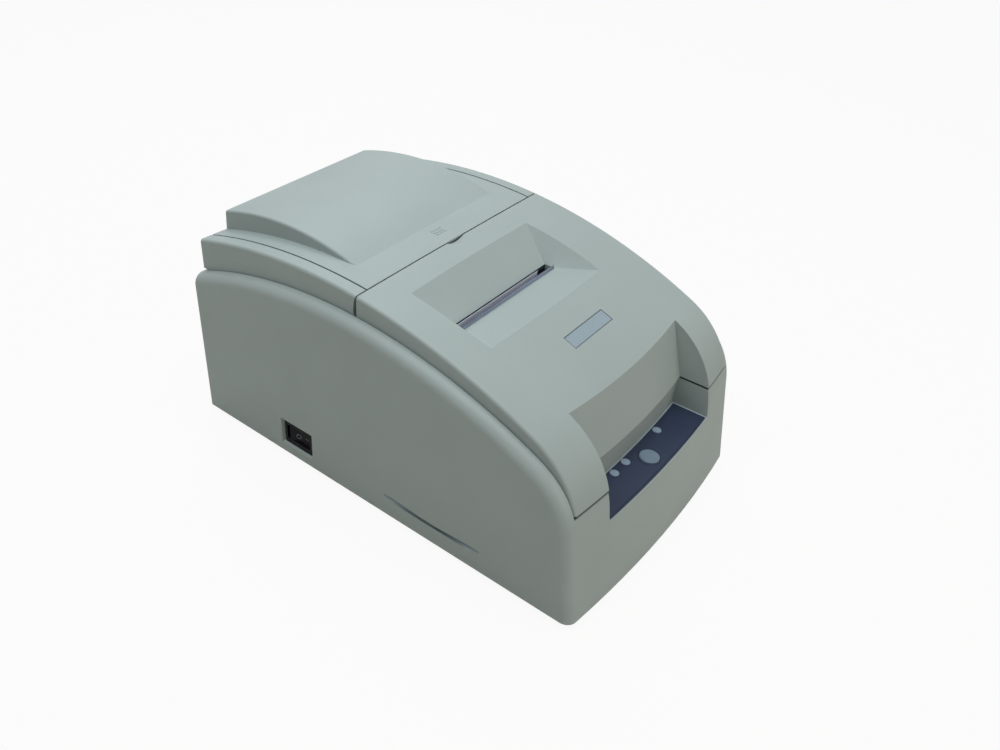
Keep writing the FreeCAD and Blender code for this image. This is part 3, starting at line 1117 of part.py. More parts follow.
def ribbon_group():
    arm_in = CASSETTE_HALF - CASSETTE_ARM
    ribbon_y = PAPER_Y - PAPER_THICK / 2 - RUN_GAP - RIBBON_THICK / 2
    tip = ribbon_y + RIBBON_THICK / 2
    body = box(-CASSETTE_HALF, CASSETTE_HALF, CASSETTE_FRONT, CASSETTE_REAR, CASSETTE_LOW, CASSETTE_HIGH)
    top = [e for e in body.Edges if e.BoundBox.ZMin > CASSETTE_HIGH - 0.01]
    body = body.makeFillet(CASSETTE_FILLET, top)
    root = CASSETTE_REAR - 1
    arms = [prism_z([(s * arm_in, root), (s * CASSETTE_HALF, root), (s * CASSETTE_HALF, tip - CASSETTE_ARM),
                     (s * (arm_in + CASSETTE_FILLET), tip), (s * arm_in, tip)],
                    PRINT_Z - CASSETTE_ARM_HALF, PRINT_Z + CASSETTE_ARM_HALF) for s in (-1, 1)]
    body = fuse([body] + arms)
    knob_y = (CASSETTE_FRONT + CASSETTE_REAR) / 2
    save("ribbon_cassette", body.cut(rod_z(KNOB_STEM_R + FIT, KNOB_X, knob_y, CASSETTE_HIGH - KNOB_STEM - 1, FAR)))
    save("ribbon", box(-arm_in, arm_in, ribbon_y - RIBBON_THICK / 2, tip,
                       PRINT_Z - RIBBON_WIDTH / 2, PRINT_Z + RIBBON_WIDTH / 2))
    knob_low = CASSETTE_HIGH + RUN_GAP
    knob = cog(KNOB_TEETH, KNOB_R, KNOB_R - KNOB_GRIP, KNOB_X, knob_y, knob_low, knob_low + KNOB_H)
    save("ribbon_knob", fuse([knob, rod_z(KNOB_STEM_R, KNOB_X, knob_y, CASSETTE_HIGH - KNOB_STEM, knob_low + 1)]))


def feed_group():
    gear_x = PLATE_OUT + GEAR_OUT
    save("feed_shaft", rod_x(FEED_SHAFT_R, -PLATE_OUT - 1, gear_x + GEAR_WIDTH + 1, FEED_Y, FEED_Z))
    save("pinch_shaft", rod_x(PINCH_SHAFT_R, -PLATE_OUT - ROOTED, PLATE_OUT + ROOTED, FEED_Y, PINCH_Z))
    for name, r, bore, z in (("feed_rollers", FEED_R, FEED_SHAFT_R, FEED_Z),
                             ("pinch_rollers", PINCH_R, PINCH_SHAFT_R, PINCH_Z)):
        sleeves = [rod_x(r, x, x + ROLLER_LENGTH, FEED_Y, z).cut(rod_x(bore, -FAR, FAR, FEED_Y, z))
                   for x in ROLLER_X]
        save(name, Part.makeCompound(sleeves))
    y, z = pinion_centre()
    angle = math.radians(GEAR_ANGLE)
    save("feed_gear", gear(GEAR_TEETH, FEED_Y, FEED_Z, gear_x, angle, FEED_SHAFT_R))
    pinion = gear(PINION_TEETH, y, z, gear_x, angle + math.pi + math.pi / PINION_TEETH, MOTOR_SHAFT_R - FIT)
    depth = PLATE_IN - MOTOR_H
    save("motor_pinion", fuse([pinion, rod_x(MOTOR_SHAFT_R, depth + 4, gear_x + GEAR_WIDTH, y, z)]))
    can = rod_x(MOTOR_R, depth, PLATE_IN, y, z)
    save("feed_motor", can.cut(rod_x(MOTOR_SHAFT_R + FIT, depth + 3, FAR, y, z)))


def paper():
    roll = rod_x(ROLL_R, PAPER_LEFT, PAPER_RIGHT, ROLL_Y, ROLL_Z).cut(rod_x(CORE_R, -FAR, FAR, ROLL_Y, ROLL_Z))
    save("paper_roll", roll)
    core = rod_x(CORE_R, PAPER_LEFT, PAPER_RIGHT, ROLL_Y, ROLL_Z)
    save("roll_core", core.cut(rod_x(CORE_R - CORE_WALL, -FAR, FAR, ROLL_Y, ROLL_Z)))
    leave = math.radians(PAPER_LEAVE_ANGLE)
    r = ROLL_R + RUN_GAP + PAPER_THICK / 2
    start = (ROLL_Y + r * math.cos(leave), ROLL_Z + r * math.sin(leave))
    lip = math.radians(BIN_LIP_ANGLE)
    over_y = ROLL_Y + BIN_R * math.cos(lip) - 1.2
    over = (over_y, start[1] + (start[0] - over_y) * math.cos(leave) / math.sin(leave))
    route = [start, over, (FEED_Y + 14, PAPER_FEED_Z), (PAPER_Y, PAPER_FEED_Z), (PAPER_Y, PAPER_TOP_Z)]
    save("paper_web", band(route, [3.0, 8.0, PAPER_BEND_R], PAPER_THICK, PAPER_LEFT, PAPER_RIGHT))


def electronics():
    board = box(-BOARD_HALF, BOARD_HALF, BOARD_FRONT, BOARD_REAR, BOARD_Z, BOARD_TOP)
    screws = []
    for x, y in BOARD_BOSSES:
        board = board.cut(rod_z(SMALL_SCREW_R + FIT, x, y, 0, FAR))
        screws.append(fuse([rod_z(SMALL_HEAD_R, x, y, BOARD_TOP, BOARD_TOP + SMALL_HEAD),
                            rod_z(SMALL_SCREW_R, x, y, FLOOR_Z + 1, BOARD_TOP + 1)]))
    save("main_board", board)
    save("board_screws", Part.makeCompound(screws))
    chips = []
    for x, behind, width, length, height in CHIPS:
        y = BOARD_FRONT + behind
        chips.append(box(x, x + width, y, y + length, BOARD_TOP, BOARD_TOP + height))
    cans = [rod_z(CAPACITOR_R, x, BOARD_REAR - CAPACITOR_AHEAD, BOARD_TOP, BOARD_TOP + CAPACITOR_H)
            for x in CAPACITOR_X]
    save("board_components", Part.makeCompound(chips + cans))
    end = REAR_Y - SOCKET_INSET
    x, half, height = SOCKETS["interface"]
    mid = BOARD_TOP + height / 2
    seat = end - SHELL_LENGTH
    block = box(x - half + INTERFACE_EAR, x + half - INTERFACE_EAR, BOARD_REAR - SHELL_LENGTH, seat,
                BOARD_TOP, BOARD_TOP + height)
    bracket = box(x - half, x + half, seat - BRACKET_T, seat, BOARD_TOP, BOARD_TOP + height)
    rise = SHELL_HEIGHT / 2
    trapezoid = [V(x + w, seat - ROOTED, mid + dz) for w, dz in
                 ((-SHELL_TOP_HALF, rise), (SHELL_TOP_HALF, rise), (SHELL_LOW_HALF, -rise), (-SHELL_LOW_HALF, -rise))]
    shell = Part.Face(Part.makePolygon(trapezoid + trapezoid[:1])).extrude(V(0, SHELL_LENGTH + ROOTED, 0))
    posts = [rod_y(POST_NUT_R, x + s * (half - POST_NUT_IN), seat - ROOTED, end - POST_NUT_SUNK, mid)
             for s in (-1, 1)]
    plug = fuse([block, bracket, shell] + posts)
    holes = []
    for count, rise in ((PIN_COUNT // 2 + 1, PIN_ROW / 2), (PIN_COUNT // 2, -PIN_ROW / 2)):
        for i in range(count):
            pin_x = x + (i - (count - 1) / 2) * PIN_PITCH
            holes.append(box(pin_x - PIN_HOLE / 2, pin_x + PIN_HOLE / 2, end - PIN_DEPTH, end + 1,
                             mid + rise - PIN_HOLE / 2, mid + rise + PIN_HOLE / 2))
    save("interface_connector", plug.cut(Part.makeCompound(holes)))
    x, half, height = SOCKETS["drawer"]
    jack = box(x - half, x + half, BOARD_REAR - SOCKET_BEHIND, end, BOARD_TOP, BOARD_TOP + height)
    mouth = fuse([box(x - JACK_HALF, x + JACK_HALF, end - JACK_DEPTH, end + 1,
                      BOARD_TOP + 2.5, BOARD_TOP + height - 3),
                  box(x - JACK_LATCH_HALF, x + JACK_LATCH_HALF, end - JACK_DEPTH, end + 1,
                      BOARD_TOP + 1, BOARD_TOP + 3)])
    save("drawer_socket", jack.cut(mouth))
    x, half, height = SOCKETS["power"]
    mid = BOARD_TOP + height / 2
    inlet = box(x - half, x + half, BOARD_REAR - SOCKET_BEHIND, end, BOARD_TOP, BOARD_TOP + height)
    inlet = inlet.cut(rod_y(INLET_R, x, end - INLET_DEPTH, end + 1, mid))
    prongs = [rod_y(PRONG_R, x + PRONG_CIRCLE * math.cos(a), end - INLET_DEPTH - ROOTED, end - 2,
                    mid + PRONG_CIRCLE * math.sin(a)) for a in [math.pi * (0.5 + 2 * i / 3) for i in range(3)]]
    save("power_inlet", fuse([inlet] + prongs))


def small_parts():
    feet = []
    for x, y in FEET:
        foot = rod_z(FOOT_R, x, y, 0, FOOT_HEIGHT)
        feet.append(foot.makeChamfer(FOOT_CHAMFER, [e for e in foot.Edges if e.BoundBox.ZMax < 0.01]))
    save("rubber_feet", Part.makeCompound(feet))
    screws = [fuse([rod_y(SCREW_HEAD_R, x, REAR_Y - CASE_SCREW_SUNK, REAR_Y - 0.1, z),
                    rod_y(SMALL_SCREW_R, x, REAR_Y - 3 * WALL, REAR_Y - 1, z)]) for x, z in CASE_SCREWS]
    save("case_screws", Part.makeCompound(screws))
    pins = [rod_x(LID_PIN_R, *span(s, LID_HALF - LID_PIN_INSIDE, RIM_HALF + WALL), LID_AXIS_Y, LID_AXIS_Z)
            for s in (-1, 1)]
    save("roll_cover_pins", Part.makeCompound(pins))


os.makedirs("parts", exist_ok=True)
save("lower_case", lower_case())
save("upper_case", upper_case())
save("roll_cover", roll_cover())
save("front_cover", front_cover())
save("name_plate", name_plate())
save("tear_bar", tear_bar())
panel()
power_switch()
mechanism_frame()
carriage_group()
ribbon_group()
feed_group()
paper()
electronics()
small_parts()
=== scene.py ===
# %% [markdown]
# Desktop receipt printer: a lesson in dressing a finished CAD model.
#
# The CAD model already holds every piece at its real size, together with the joints. Nothing here
# moves or resizes those pieces. The script adds the finishes, the small marks and fasteners, the
# light and the camera.

# %% Load the fixed frame
import math

import bmesh
import bpy
import numpy as np
from mathutils import Matrix, Vector


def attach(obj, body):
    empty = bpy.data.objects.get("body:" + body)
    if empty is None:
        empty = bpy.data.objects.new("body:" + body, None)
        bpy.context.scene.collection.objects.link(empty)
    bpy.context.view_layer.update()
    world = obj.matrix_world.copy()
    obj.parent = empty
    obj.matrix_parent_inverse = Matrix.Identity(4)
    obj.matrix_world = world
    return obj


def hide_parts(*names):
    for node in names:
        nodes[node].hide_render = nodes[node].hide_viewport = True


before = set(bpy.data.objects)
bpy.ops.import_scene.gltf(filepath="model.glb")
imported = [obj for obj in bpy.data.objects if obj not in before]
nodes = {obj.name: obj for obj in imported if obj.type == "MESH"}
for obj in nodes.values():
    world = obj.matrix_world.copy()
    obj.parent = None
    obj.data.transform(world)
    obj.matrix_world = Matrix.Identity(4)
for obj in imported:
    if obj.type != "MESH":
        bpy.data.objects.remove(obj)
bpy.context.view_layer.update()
MM = 0.001
print("pieces in the frame:", len(nodes))

# %% [markdown]
# The camera stands where the photographer stood: off the front left corner and well above it. It
# could be aimed with a constraint, but a photograph also has a small roll and a crop, so the camera
# gets its own matrix from an azimuth, an elevation and a roll, and the crop becomes a shift of the
# lens.

# %% Camera
IMAGE_WIDTH, IMAGE_HEIGHT = 1000, 750
FOCAL_PIXELS = 885.7
AXIS_PIXEL = (385.5, 408.8)
EYE = Vector((-323.5, -217.8, 327.6)) * MM
AZIMUTH, ELEVATION, ROLL = (math.radians(angle) for angle in (-49.49, 38.63, 0.79))
SENSOR_WIDTH = 36.0
NEAREST, FARTHEST = 0.01, 20.0


def camera_matrix(eye, azimuth, elevation, roll):
    """Camera axes: back runs from the subject to the eye, right and up are turned by the roll."""
    back = Vector((math.sin(azimuth) * math.cos(elevation), -math.cos(azimuth) * math.cos(elevation),
                   math.sin(elevation)))
    level = Vector((math.cos(azimuth), math.sin(azimuth), 0))
    above = back.cross(level)
    right = level * math.cos(roll) + above * math.sin(roll)
    up = above * math.cos(roll) - level * math.sin(roll)
    turned = Matrix((right, up, back)).transposed().to_4x4()
    return Matrix.Translation(eye) @ turned


camera = bpy.data.objects.new("camera", bpy.data.cameras.new("camera"))
bpy.context.scene.collection.objects.link(camera)
camera.data.sensor_width = SENSOR_WIDTH
camera.data.lens = SENSOR_WIDTH * FOCAL_PIXELS / IMAGE_WIDTH
camera.data.shift_x = (IMAGE_WIDTH / 2 - AXIS_PIXEL[0]) / IMAGE_WIDTH
camera.data.shift_y = (AXIS_PIXEL[1] - IMAGE_HEIGHT / 2) / IMAGE_WIDTH
camera.data.clip_start, camera.data.clip_end = NEAREST, FARTHEST
camera.matrix_world = camera_matrix(EYE, AZIMUTH, ELEVATION, ROLL)
bpy.context.scene.camera = camera
bpy.context.scene.view_settings.view_transform = "Standard"
print("lens", round(camera.data.lens, 2), "mm")

# %% [markdown]
# A finish is a small graph of nodes. A few short helpers keep each graph readable: they add a node
# with its values, do one sum, mix two colours, or start a material or a group. Colours are given as
# display values, which are easy to judge by eye, and one helper turns them into scene values.

# %% Helpers for shader graphs


def add(tree, kind, values=None, **settings):
    """New node in a tree: settings are its own properties, values fill its input sockets."""
    made = tree.nodes.new("ShaderNode" + kind)
    for key, value in settings.items():
        setattr(made, key, value)
    for key, value in (values or {}).items():
        if isinstance(value, bpy.types.NodeSocket):
            tree.links.new(value, made.inputs[key])
        else:
            made.inputs[key].default_value = value
    return made


def maths(tree, operation, first, second=0.0, third=0.0):
    """One Math node, whose inputs are numbers or other nodes' outputs."""
    return add(tree, "Math", {0: first, 1: second, 2: third}, operation=operation).outputs[0]


def blend_colours(tree, mask, low, high):
    """Mix of two colours by a mask."""
    mix = add(tree, "Mix", {0: mask, 6: low, 7: high}, data_type="RGBA")
    return mix.outputs[2]


def linear(red, green, blue):
    """Scene colour of a display colour given in 0 to 255."""
    display = np.array([red, green, blue]) / 255
    value = np.where(display > 0.04045, ((display + 0.055) / 1.055) ** 2.4, display / 12.92)
    return (*value.tolist(), 1.0)


def scaled(colour, factor):
    """Darker or paler version of a scene colour."""
    return (*[min(1.0, channel * factor) for channel in colour[:3]], 1.0)


def new_material(name):
    """Material with only its main shader and output."""
    made = bpy.data.materials.new(name)
    made.use_nodes = True
    return made, made.node_tree, made.node_tree.nodes["Principled BSDF"]


def reopen(made):
    """Tree, main shader and present base colour of a finish that gets one more layer."""
    shader = made.node_tree.nodes["Principled BSDF"]
    return made.node_tree, shader, shader.inputs["Base Color"].links[0].from_socket


def new_group(name, inputs, outputs):
    """Empty shader group with number inputs, each with a default, and number outputs."""
    group = bpy.data.node_groups.new(name, "ShaderNodeTree")
    for label, value in inputs.items():
        socket = group.interface.new_socket(label, in_out="INPUT", socket_type="NodeSocketFloat")
        socket.default_value = value
    for label in outputs:
        group.interface.new_socket(label, in_out="OUTPUT", socket_type="NodeSocketFloat")
    start = group.nodes.new("NodeGroupInput")
    end = group.nodes.new("NodeGroupOutput")
    return group, start, end


def place_group(tree, group, **values):
    """Group node in a material, with its own values."""
    made = tree.nodes.new("ShaderNodeGroup")
    made.node_tree = group
    for key, value in values.items():
        made.inputs[key].default_value = value
    return made


print("helpers ready")

# %% [markdown]
# Moulded plastic, steel and rubber are never perfectly even. Three effects are shared by many
# finishes, so each is built once as a node group: the eroded grain of a mould, the drawn lines of
# metal, and slow stains.

# %% Shared effects
GRAIN_SCALE, MOTTLE_SCALE = 2400.0, 26.0
LINE_SCALE, LINE_STRETCH = 900.0, 30.0
STAIN_SCALE, STAIN_LEVEL, STAIN_STEEPNESS = 40.0, 0.55, 6.0


def make_grain():
    """Spark-eroded mould texture: fine noise for the height, a wide slow noise for the tint."""
    scales = {"Scale": GRAIN_SCALE, "Slow Scale": MOTTLE_SCALE}
    group, start, end = new_group("mould grain", scales, ["Height", "Mottle"])
    place = add(group, "TexCoord").outputs["Object"]
    fine = add(group, "TexNoise", {"Vector": place, "Scale": start.outputs["Scale"],
                                   "Detail": 3.0, "Roughness": 0.6})
    slow = add(group, "TexNoise", {"Vector": place, "Scale": start.outputs["Slow Scale"],
                                   "Detail": 4.0})
    group.links.new(fine.outputs["Fac"], end.inputs["Height"])
    group.links.new(slow.outputs["Fac"], end.inputs["Mottle"])
    return group


def make_drawn_lines():
    """Lines of rolled or drawn metal: noise squeezed across and stretched along X."""
    scales = {"Stretch": LINE_STRETCH, "Scale": LINE_SCALE}
    group, start, end = new_group("drawn lines", scales, ["Line"])
    place = add(group, "TexCoord").outputs["Object"]
    parts = add(group, "SeparateXYZ", {0: place}).outputs
    along = maths(group, "DIVIDE", parts["X"], start.outputs["Stretch"])
    flat = add(group, "CombineXYZ", {"X": along, "Y": parts["Y"], "Z": parts["Z"]})
    noise = add(group, "TexNoise", {"Vector": flat.outputs[0], "Scale": start.outputs["Scale"],
                                    "Detail": 4.0})
    group.links.new(noise.outputs["Fac"], end.inputs["Line"])
    return group


def make_stains():
    """Cloudy marks: noise cut off below a level, so only its peaks are left."""
    group, start, end = new_group("stains", {"Scale": STAIN_SCALE, "Level": STAIN_LEVEL}, ["Mask"])
    place = add(group, "TexCoord").outputs["Object"]
    noise = add(group, "TexNoise", {"Vector": place, "Scale": start.outputs["Scale"],
                                    "Detail": 6.0, "Roughness": 0.65})
    above = maths(group, "SUBTRACT", noise.outputs["Fac"], start.outputs["Level"])
    spread = add(group, "Math", {0: above, 1: STAIN_STEEPNESS}, operation="MULTIPLY", use_clamp=True)
    group.links.new(spread.outputs[0], end.inputs["Mask"])
    return group


GRAIN, DRAWN, STAINS = make_grain(), make_drawn_lines(), make_stains()
print("groups:", [group.name for group in (GRAIN, DRAWN, STAINS)])

# %% [markdown]
# Most pieces are plastic: tinted in the mass, with a matt grain from the mould. One function makes
# all of them from a colour, a roughness and a grain depth, so the black, cream and grey plastics
# stay a family.

# %% Plastics
STAIN_DULLING, GRAIN_STRENGTH = 0.08, 0.6
SWITCH_SHEEN = 0.2


def plastic(name, colour, roughness, grain_depth, grain_scale=GRAIN_SCALE, tint=0.06):
    """Moulded plastic: slow mottle in the tint, stains in the gloss, fine grain in the height."""
    made, tree, shader = new_material(name)
    grain = place_group(tree, GRAIN, Scale=grain_scale)
    stains = place_group(tree, STAINS)
    deep, pale = scaled(colour, 1 - tint), scaled(colour, 1 + tint)
    body = blend_colours(tree, grain.outputs["Mottle"], deep, pale)
    tree.links.new(body, shader.inputs["Base Color"])
    dull = maths(tree, "MULTIPLY_ADD", stains.outputs["Mask"], STAIN_DULLING, roughness)
    tree.links.new(dull, shader.inputs["Roughness"])
    bump = add(tree, "Bump", {"Strength": GRAIN_STRENGTH, "Distance": grain_depth,
                              "Height": grain.outputs["Height"]})
    tree.links.new(bump.outputs[0], shader.inputs["Normal"])
    return made


BLACK = plastic("black_plastic", linear(24, 24, 30), roughness=0.5, grain_depth=0.04 * MM,
                grain_scale=3000.0, tint=0.12)
NYLON = plastic("nylon", linear(226, 222, 205), roughness=0.4, grain_depth=0.02 * MM)
SWITCH = plastic("switch_plastic", linear(16, 16, 22), roughness=0.5, grain_depth=0.03 * MM,
                 grain_scale=3000.0, tint=0.12)
SWITCH.node_tree.nodes["Principled BSDF"].inputs["Specular IOR Level"].default_value = SWITCH_SHEEN
BUTTON = plastic("button_plastic", linear(122, 138, 154), roughness=0.5, grain_depth=0.02 * MM)
INK = plastic("mark_ink", linear(110, 110, 115), roughness=0.6, grain_depth=0.02 * MM)
BOARD = plastic("board_core", linear(38, 96, 62), roughness=0.35, grain_depth=0.02 * MM,
                grain_scale=1200.0, tint=0.2)
CHIP = plastic("chip_resin", linear(26, 26, 28), roughness=0.5, grain_depth=0.03 * MM)
LENS = plastic("lens_plastic", linear(160, 176, 193), roughness=0.3, grain_depth=0.01 * MM)
RUBBER = plastic("rubber", linear(40, 40, 41), roughness=0.75, grain_depth=0.08 * MM,
                 grain_scale=1800.0)
CARD = plastic("roll_core", linear(170, 146, 112), roughness=0.85, grain_depth=0.08 * MM,
               grain_scale=900.0, tint=0.12)
RIBBON = plastic("ribbon_fabric", linear(44, 34, 62), roughness=0.7, grain_depth=0.08 * MM,
                 grain_scale=3500.0)
print("plastics made")

# %% [markdown]
# The case is the same plastic, with one more thing that the eye reads as two mouldings: the thin
# dark line where the front cover's two horns meet the tub. The gap is there in the CAD model, but
# from above the cover's edge hides most of it. Box-shaped masks on the object's coordinates paint
# shade onto the faces at the gap. Two more masks paint shade the same way onto the rear face of the
# paper slot and, more gently, into the finger groove in each side wall.

# %% Case plastic with its front joint line
JOINT_HEIGHT, JOINT_HALF, RECESS_JOINT_HALF = 61.2 * MM, 0.85 * MM, 0.5 * MM
RECESS_SIDE, HORN_INNER, HORN_OUTER, HORN_REAR = 48.9 * MM, 49.3 * MM, 73.4 * MM, -90.0 * MM
GROOVE_MIDDLE, GROOVE_HALF = (-38.8 * MM, 15.6 * MM), (29.6 * MM, 3.5 * MM)
GROOVE_INNER, GROOVE_OUTER = 77.0 * MM, 79.95 * MM
SLOT_REAR, SLOT_REAR_HALF = -18.6 * MM, 0.2 * MM
SLOT_LEFT, SLOT_RIGHT, SLOT_FOOT, SLOT_EDGE = -44.3 * MM, 33.8 * MM, 95.0 * MM, 103.45 * MM
# The second colour below is painted shade for the finger grooves.
CASE_GREY, GROOVE_PAINTED_SHADE = linear(176, 185, 181), linear(152, 161, 166)
# The colours below are painted shade: at the horns' joint, at the recess joint and on the slot's
# rear face.
HORN_PAINTED_SHADE, RECESS_PAINTED_SHADE, SLOT_PAINTED_SHADE = linear(84, 90, 87), linear(40, 44, 45), linear(62, 70, 82)


def place_parts(tree):
    """Separate X, Y and Z of the object's own coordinates."""
    return add(tree, "SeparateXYZ", {0: add(tree, "TexCoord").outputs["Object"]}).outputs


def within(tree, value, middle, half):
    """Mask of the places where a coordinate lies within a half width of its middle."""
    away = maths(tree, "ABSOLUTE", maths(tree, "SUBTRACT", value, middle))
    return maths(tree, "LESS_THAN", away, half)


def between(tree, value, low, high):
    """Mask of the places where a coordinate lies between two values."""
    return within(tree, value, (low + high) / 2, (high - low) / 2)


def overlap(tree, total, *masks):
    """Product of masks, which is on only where all of them are on."""
    for mask in masks:
        total = maths(tree, "MULTIPLY", total, mask)
    return total


def make_case():
    """Grey plastic with painted shade at the horns' joint, behind the paper and in both finger
    grooves.
    """
    made = plastic("case_plastic", CASE_GREY, roughness=0.48, grain_depth=0.06 * MM)
    tree, shader, colour_with_shade = reopen(made)
    x, y, z = place_parts(tree)
    side = maths(tree, "ABSOLUTE", x)
    ahead = maths(tree, "LESS_THAN", y, HORN_REAR)
    # Masks for painted shade at the horns' joint and at the recess joint.
    horn_joint = overlap(tree, between(tree, side, HORN_INNER, HORN_OUTER), ahead,
                         within(tree, z, JOINT_HEIGHT, JOINT_HALF))
    recess_joint = overlap(tree, between(tree, side, RECESS_SIDE, HORN_INNER), ahead,
                           within(tree, z, JOINT_HEIGHT, RECESS_JOINT_HALF))
    # Mask for gentler painted shade in the finger grooves.
    groove = overlap(tree, within(tree, y, GROOVE_MIDDLE[0], GROOVE_HALF[0]),
                     within(tree, z, GROOVE_MIDDLE[1], GROOVE_HALF[1]),
                     between(tree, side, GROOVE_INNER, GROOVE_OUTER))
    # Mask for painted shade on the rear face of the paper slot.
    slot = overlap(tree, within(tree, y, SLOT_REAR, SLOT_REAR_HALF),
                   between(tree, x, SLOT_LEFT, SLOT_RIGHT), between(tree, z, SLOT_FOOT, SLOT_EDGE))
    # Each mask paints its shade colour into the base colour.
    for mask, colour in ((horn_joint, HORN_PAINTED_SHADE), (recess_joint, RECESS_PAINTED_SHADE),
                         (groove, GROOVE_PAINTED_SHADE), (slot, SLOT_PAINTED_SHADE)):
        colour_with_shade = blend_colours(tree, mask, colour_with_shade, colour)
    tree.links.new(colour_with_shade, shader.inputs["Base Color"])
    return made


CASE = make_case()
print("case plastic made")

# %% [markdown]
# The control panel's film has a thin pale border at its ends and its rear, and the bare name plate
# has a dark outline. Both could be cut as separate strips, but on the real printer they are printed,
# so here a mask in the material draws them. The film's rear edge follows the bow of the case: it is
# an arc about an upright axis far behind the printer.

# %% Printed film and name plate
BOW_AXIS_Y = 573.95 * MM
FILM_HALF, FILM_REAR_RADIUS, FILM_BORDER = 48.55 * MM, 671.15 * MM, 0.75 * MM
PLATE_MIDDLE_Y, PLATE_HALF, PLATE_HALF_LENGTH = -64.8 * MM, 16.5 * MM, 3.5 * MM
PLATE_OUTLINE = 0.4 * MM
PRINT_GRAIN, PRINT_SHEEN = 0.02 * MM, 0.3


def printed(name, body, line, roughness, edges):
    """Printed surface: the line's colour where an edge mask is on, the body's colour elsewhere."""
    made = plastic(name, body, roughness, PRINT_GRAIN)
    tree, shader, mottled = reopen(made)
    total, *others = edges(tree)
    for mask in others:
        total = maths(tree, "MAXIMUM", total, mask)
    tree.links.new(blend_colours(tree, total, mottled, line), shader.inputs["Base Color"])
    shader.inputs["Specular IOR Level"].default_value = PRINT_SHEEN
    return made


def distance(tree, across, along):
    """Distance from an axis: the root of the sum of two squares."""
    squares = maths(tree, "ADD", maths(tree, "MULTIPLY", across, across),
                    maths(tree, "MULTIPLY", along, along))
    return maths(tree, "SQRT", squares)


def film_edges(tree):
    """Ends beyond a half width, and the rear edge as a radius about the bow's axis."""
    x, y, _ = place_parts(tree)
    radius = distance(tree, x, maths(tree, "SUBTRACT", y, BOW_AXIS_Y))
    return [maths(tree, "GREATER_THAN", maths(tree, "ABSOLUTE", x), FILM_HALF - FILM_BORDER),
            maths(tree, "LESS_THAN", radius, FILM_REAR_RADIUS + FILM_BORDER)]


def plate_edges(tree):
    """The four sides of the plate's rectangle."""
    x, y, _ = place_parts(tree)
    along = maths(tree, "ABSOLUTE", maths(tree, "SUBTRACT", y, PLATE_MIDDLE_Y))
    return [maths(tree, "GREATER_THAN", maths(tree, "ABSOLUTE", x), PLATE_HALF - PLATE_OUTLINE),
            maths(tree, "GREATER_THAN", along, PLATE_HALF_LENGTH - PLATE_OUTLINE)]


LABEL = printed("label_film", body=linear(47, 57, 80), line=linear(186, 197, 202), roughness=0.5,
                edges=film_edges)
PLATE = printed("name_plate", body=linear(166, 180, 188), line=linear(92, 100, 108), roughness=0.25,
                edges=plate_edges)
print("printed finishes:", LABEL.name, PLATE.name)

# %% [markdown]
# A paper roll shows its wound layers on its ends. The distance from the roll's axis gives rings
# there. The same distance is constant over the outside, and beyond it the rings stop, so the strip
# that leaves the roll is plain.

# %% Paper
ROLL_AXIS, ROLL_RADIUS = (72.0 * MM, 76.3 * MM), 36.8 * MM
LAYER_PITCH, LAYER_DEPTH = 0.9 * MM, 0.25
PAPER_WHITE, LAYER_GREY = linear(226, 227, 238), linear(186, 186, 196)


def make_paper():
    """Paper: white with fine fibres, darkened by a wave over the distance from the roll's axis."""
    made = plastic("paper", PAPER_WHITE, roughness=0.8, grain_depth=0.04 * MM,
                   grain_scale=1500.0, tint=0.03)
    tree, shader, plain = reopen(made)
    _, y, z = place_parts(tree)
    radius = distance(tree, maths(tree, "SUBTRACT", y, ROLL_AXIS[0]),
                      maths(tree, "SUBTRACT", z, ROLL_AXIS[1]))
    wave = maths(tree, "SINE", maths(tree, "MULTIPLY", radius, 2 * math.pi / LAYER_PITCH))
    layer = maths(tree, "MULTIPLY_ADD", wave, LAYER_DEPTH, LAYER_DEPTH)
    layer = overlap(tree, layer, maths(tree, "LESS_THAN", radius, ROLL_RADIUS))
    tree.links.new(blend_colours(tree, layer, plain, LAYER_GREY), shader.inputs["Base Color"])
    return made


PAPER = make_paper()
print("paper made")

# %% [markdown]
# The mechanism is rolled and turned metal. Its brightness comes from the metallic shader and the
# studio, and the drawn lines break the gloss along X, which is the direction that shafts and sheets
# were worked in.

# %% Metals
METAL_STAIN_SCALE, METAL_STAIN_SHADE = 60.0, 0.72
LINE_DULLING, LINE_STRENGTH = 0.22, 0.3


def metal(name, colour, roughness, line_depth):
    """Worked metal: drawn lines vary the gloss and the height, stains darken it in places."""
    made, tree, shader = new_material(name)
    lines = place_group(tree, DRAWN)
    stains = place_group(tree, STAINS, Scale=METAL_STAIN_SCALE)
    body = blend_colours(tree, stains.outputs["Mask"], colour, scaled(colour, METAL_STAIN_SHADE))
    tree.links.new(body, shader.inputs["Base Color"])
    shader.inputs["Metallic"].default_value = 1.0
    gloss = maths(tree, "MULTIPLY_ADD", lines.outputs["Line"], LINE_DULLING, roughness)
    tree.links.new(gloss, shader.inputs["Roughness"])
    bump = add(tree, "Bump", {"Strength": LINE_STRENGTH, "Distance": line_depth,
                              "Height": lines.outputs["Line"]})
    tree.links.new(bump.outputs[0], shader.inputs["Normal"])
    return made


STEEL = metal("steel", linear(205, 206, 208), roughness=0.16, line_depth=0.02 * MM)
SHEET = metal("plated_sheet", linear(196, 196, 188), roughness=0.28, line_depth=0.03 * MM)
SCREW = metal("screw_steel", linear(160, 160, 162), roughness=0.3, line_depth=0.01 * MM)
ALLOY = metal("head_alloy", linear(104, 106, 110), roughness=0.4, line_depth=0.03 * MM)
COMB_STEEL = metal("comb_steel", linear(158, 164, 180), roughness=0.38, line_depth=0.02 * MM)
print("metals made")

# %% [markdown]
# The wide socket in the rear wall is one CAD piece, but a real one has a pressed steel shell round a
# black insert. A box-shaped mask over the insert switches both the colour and the metallic value.

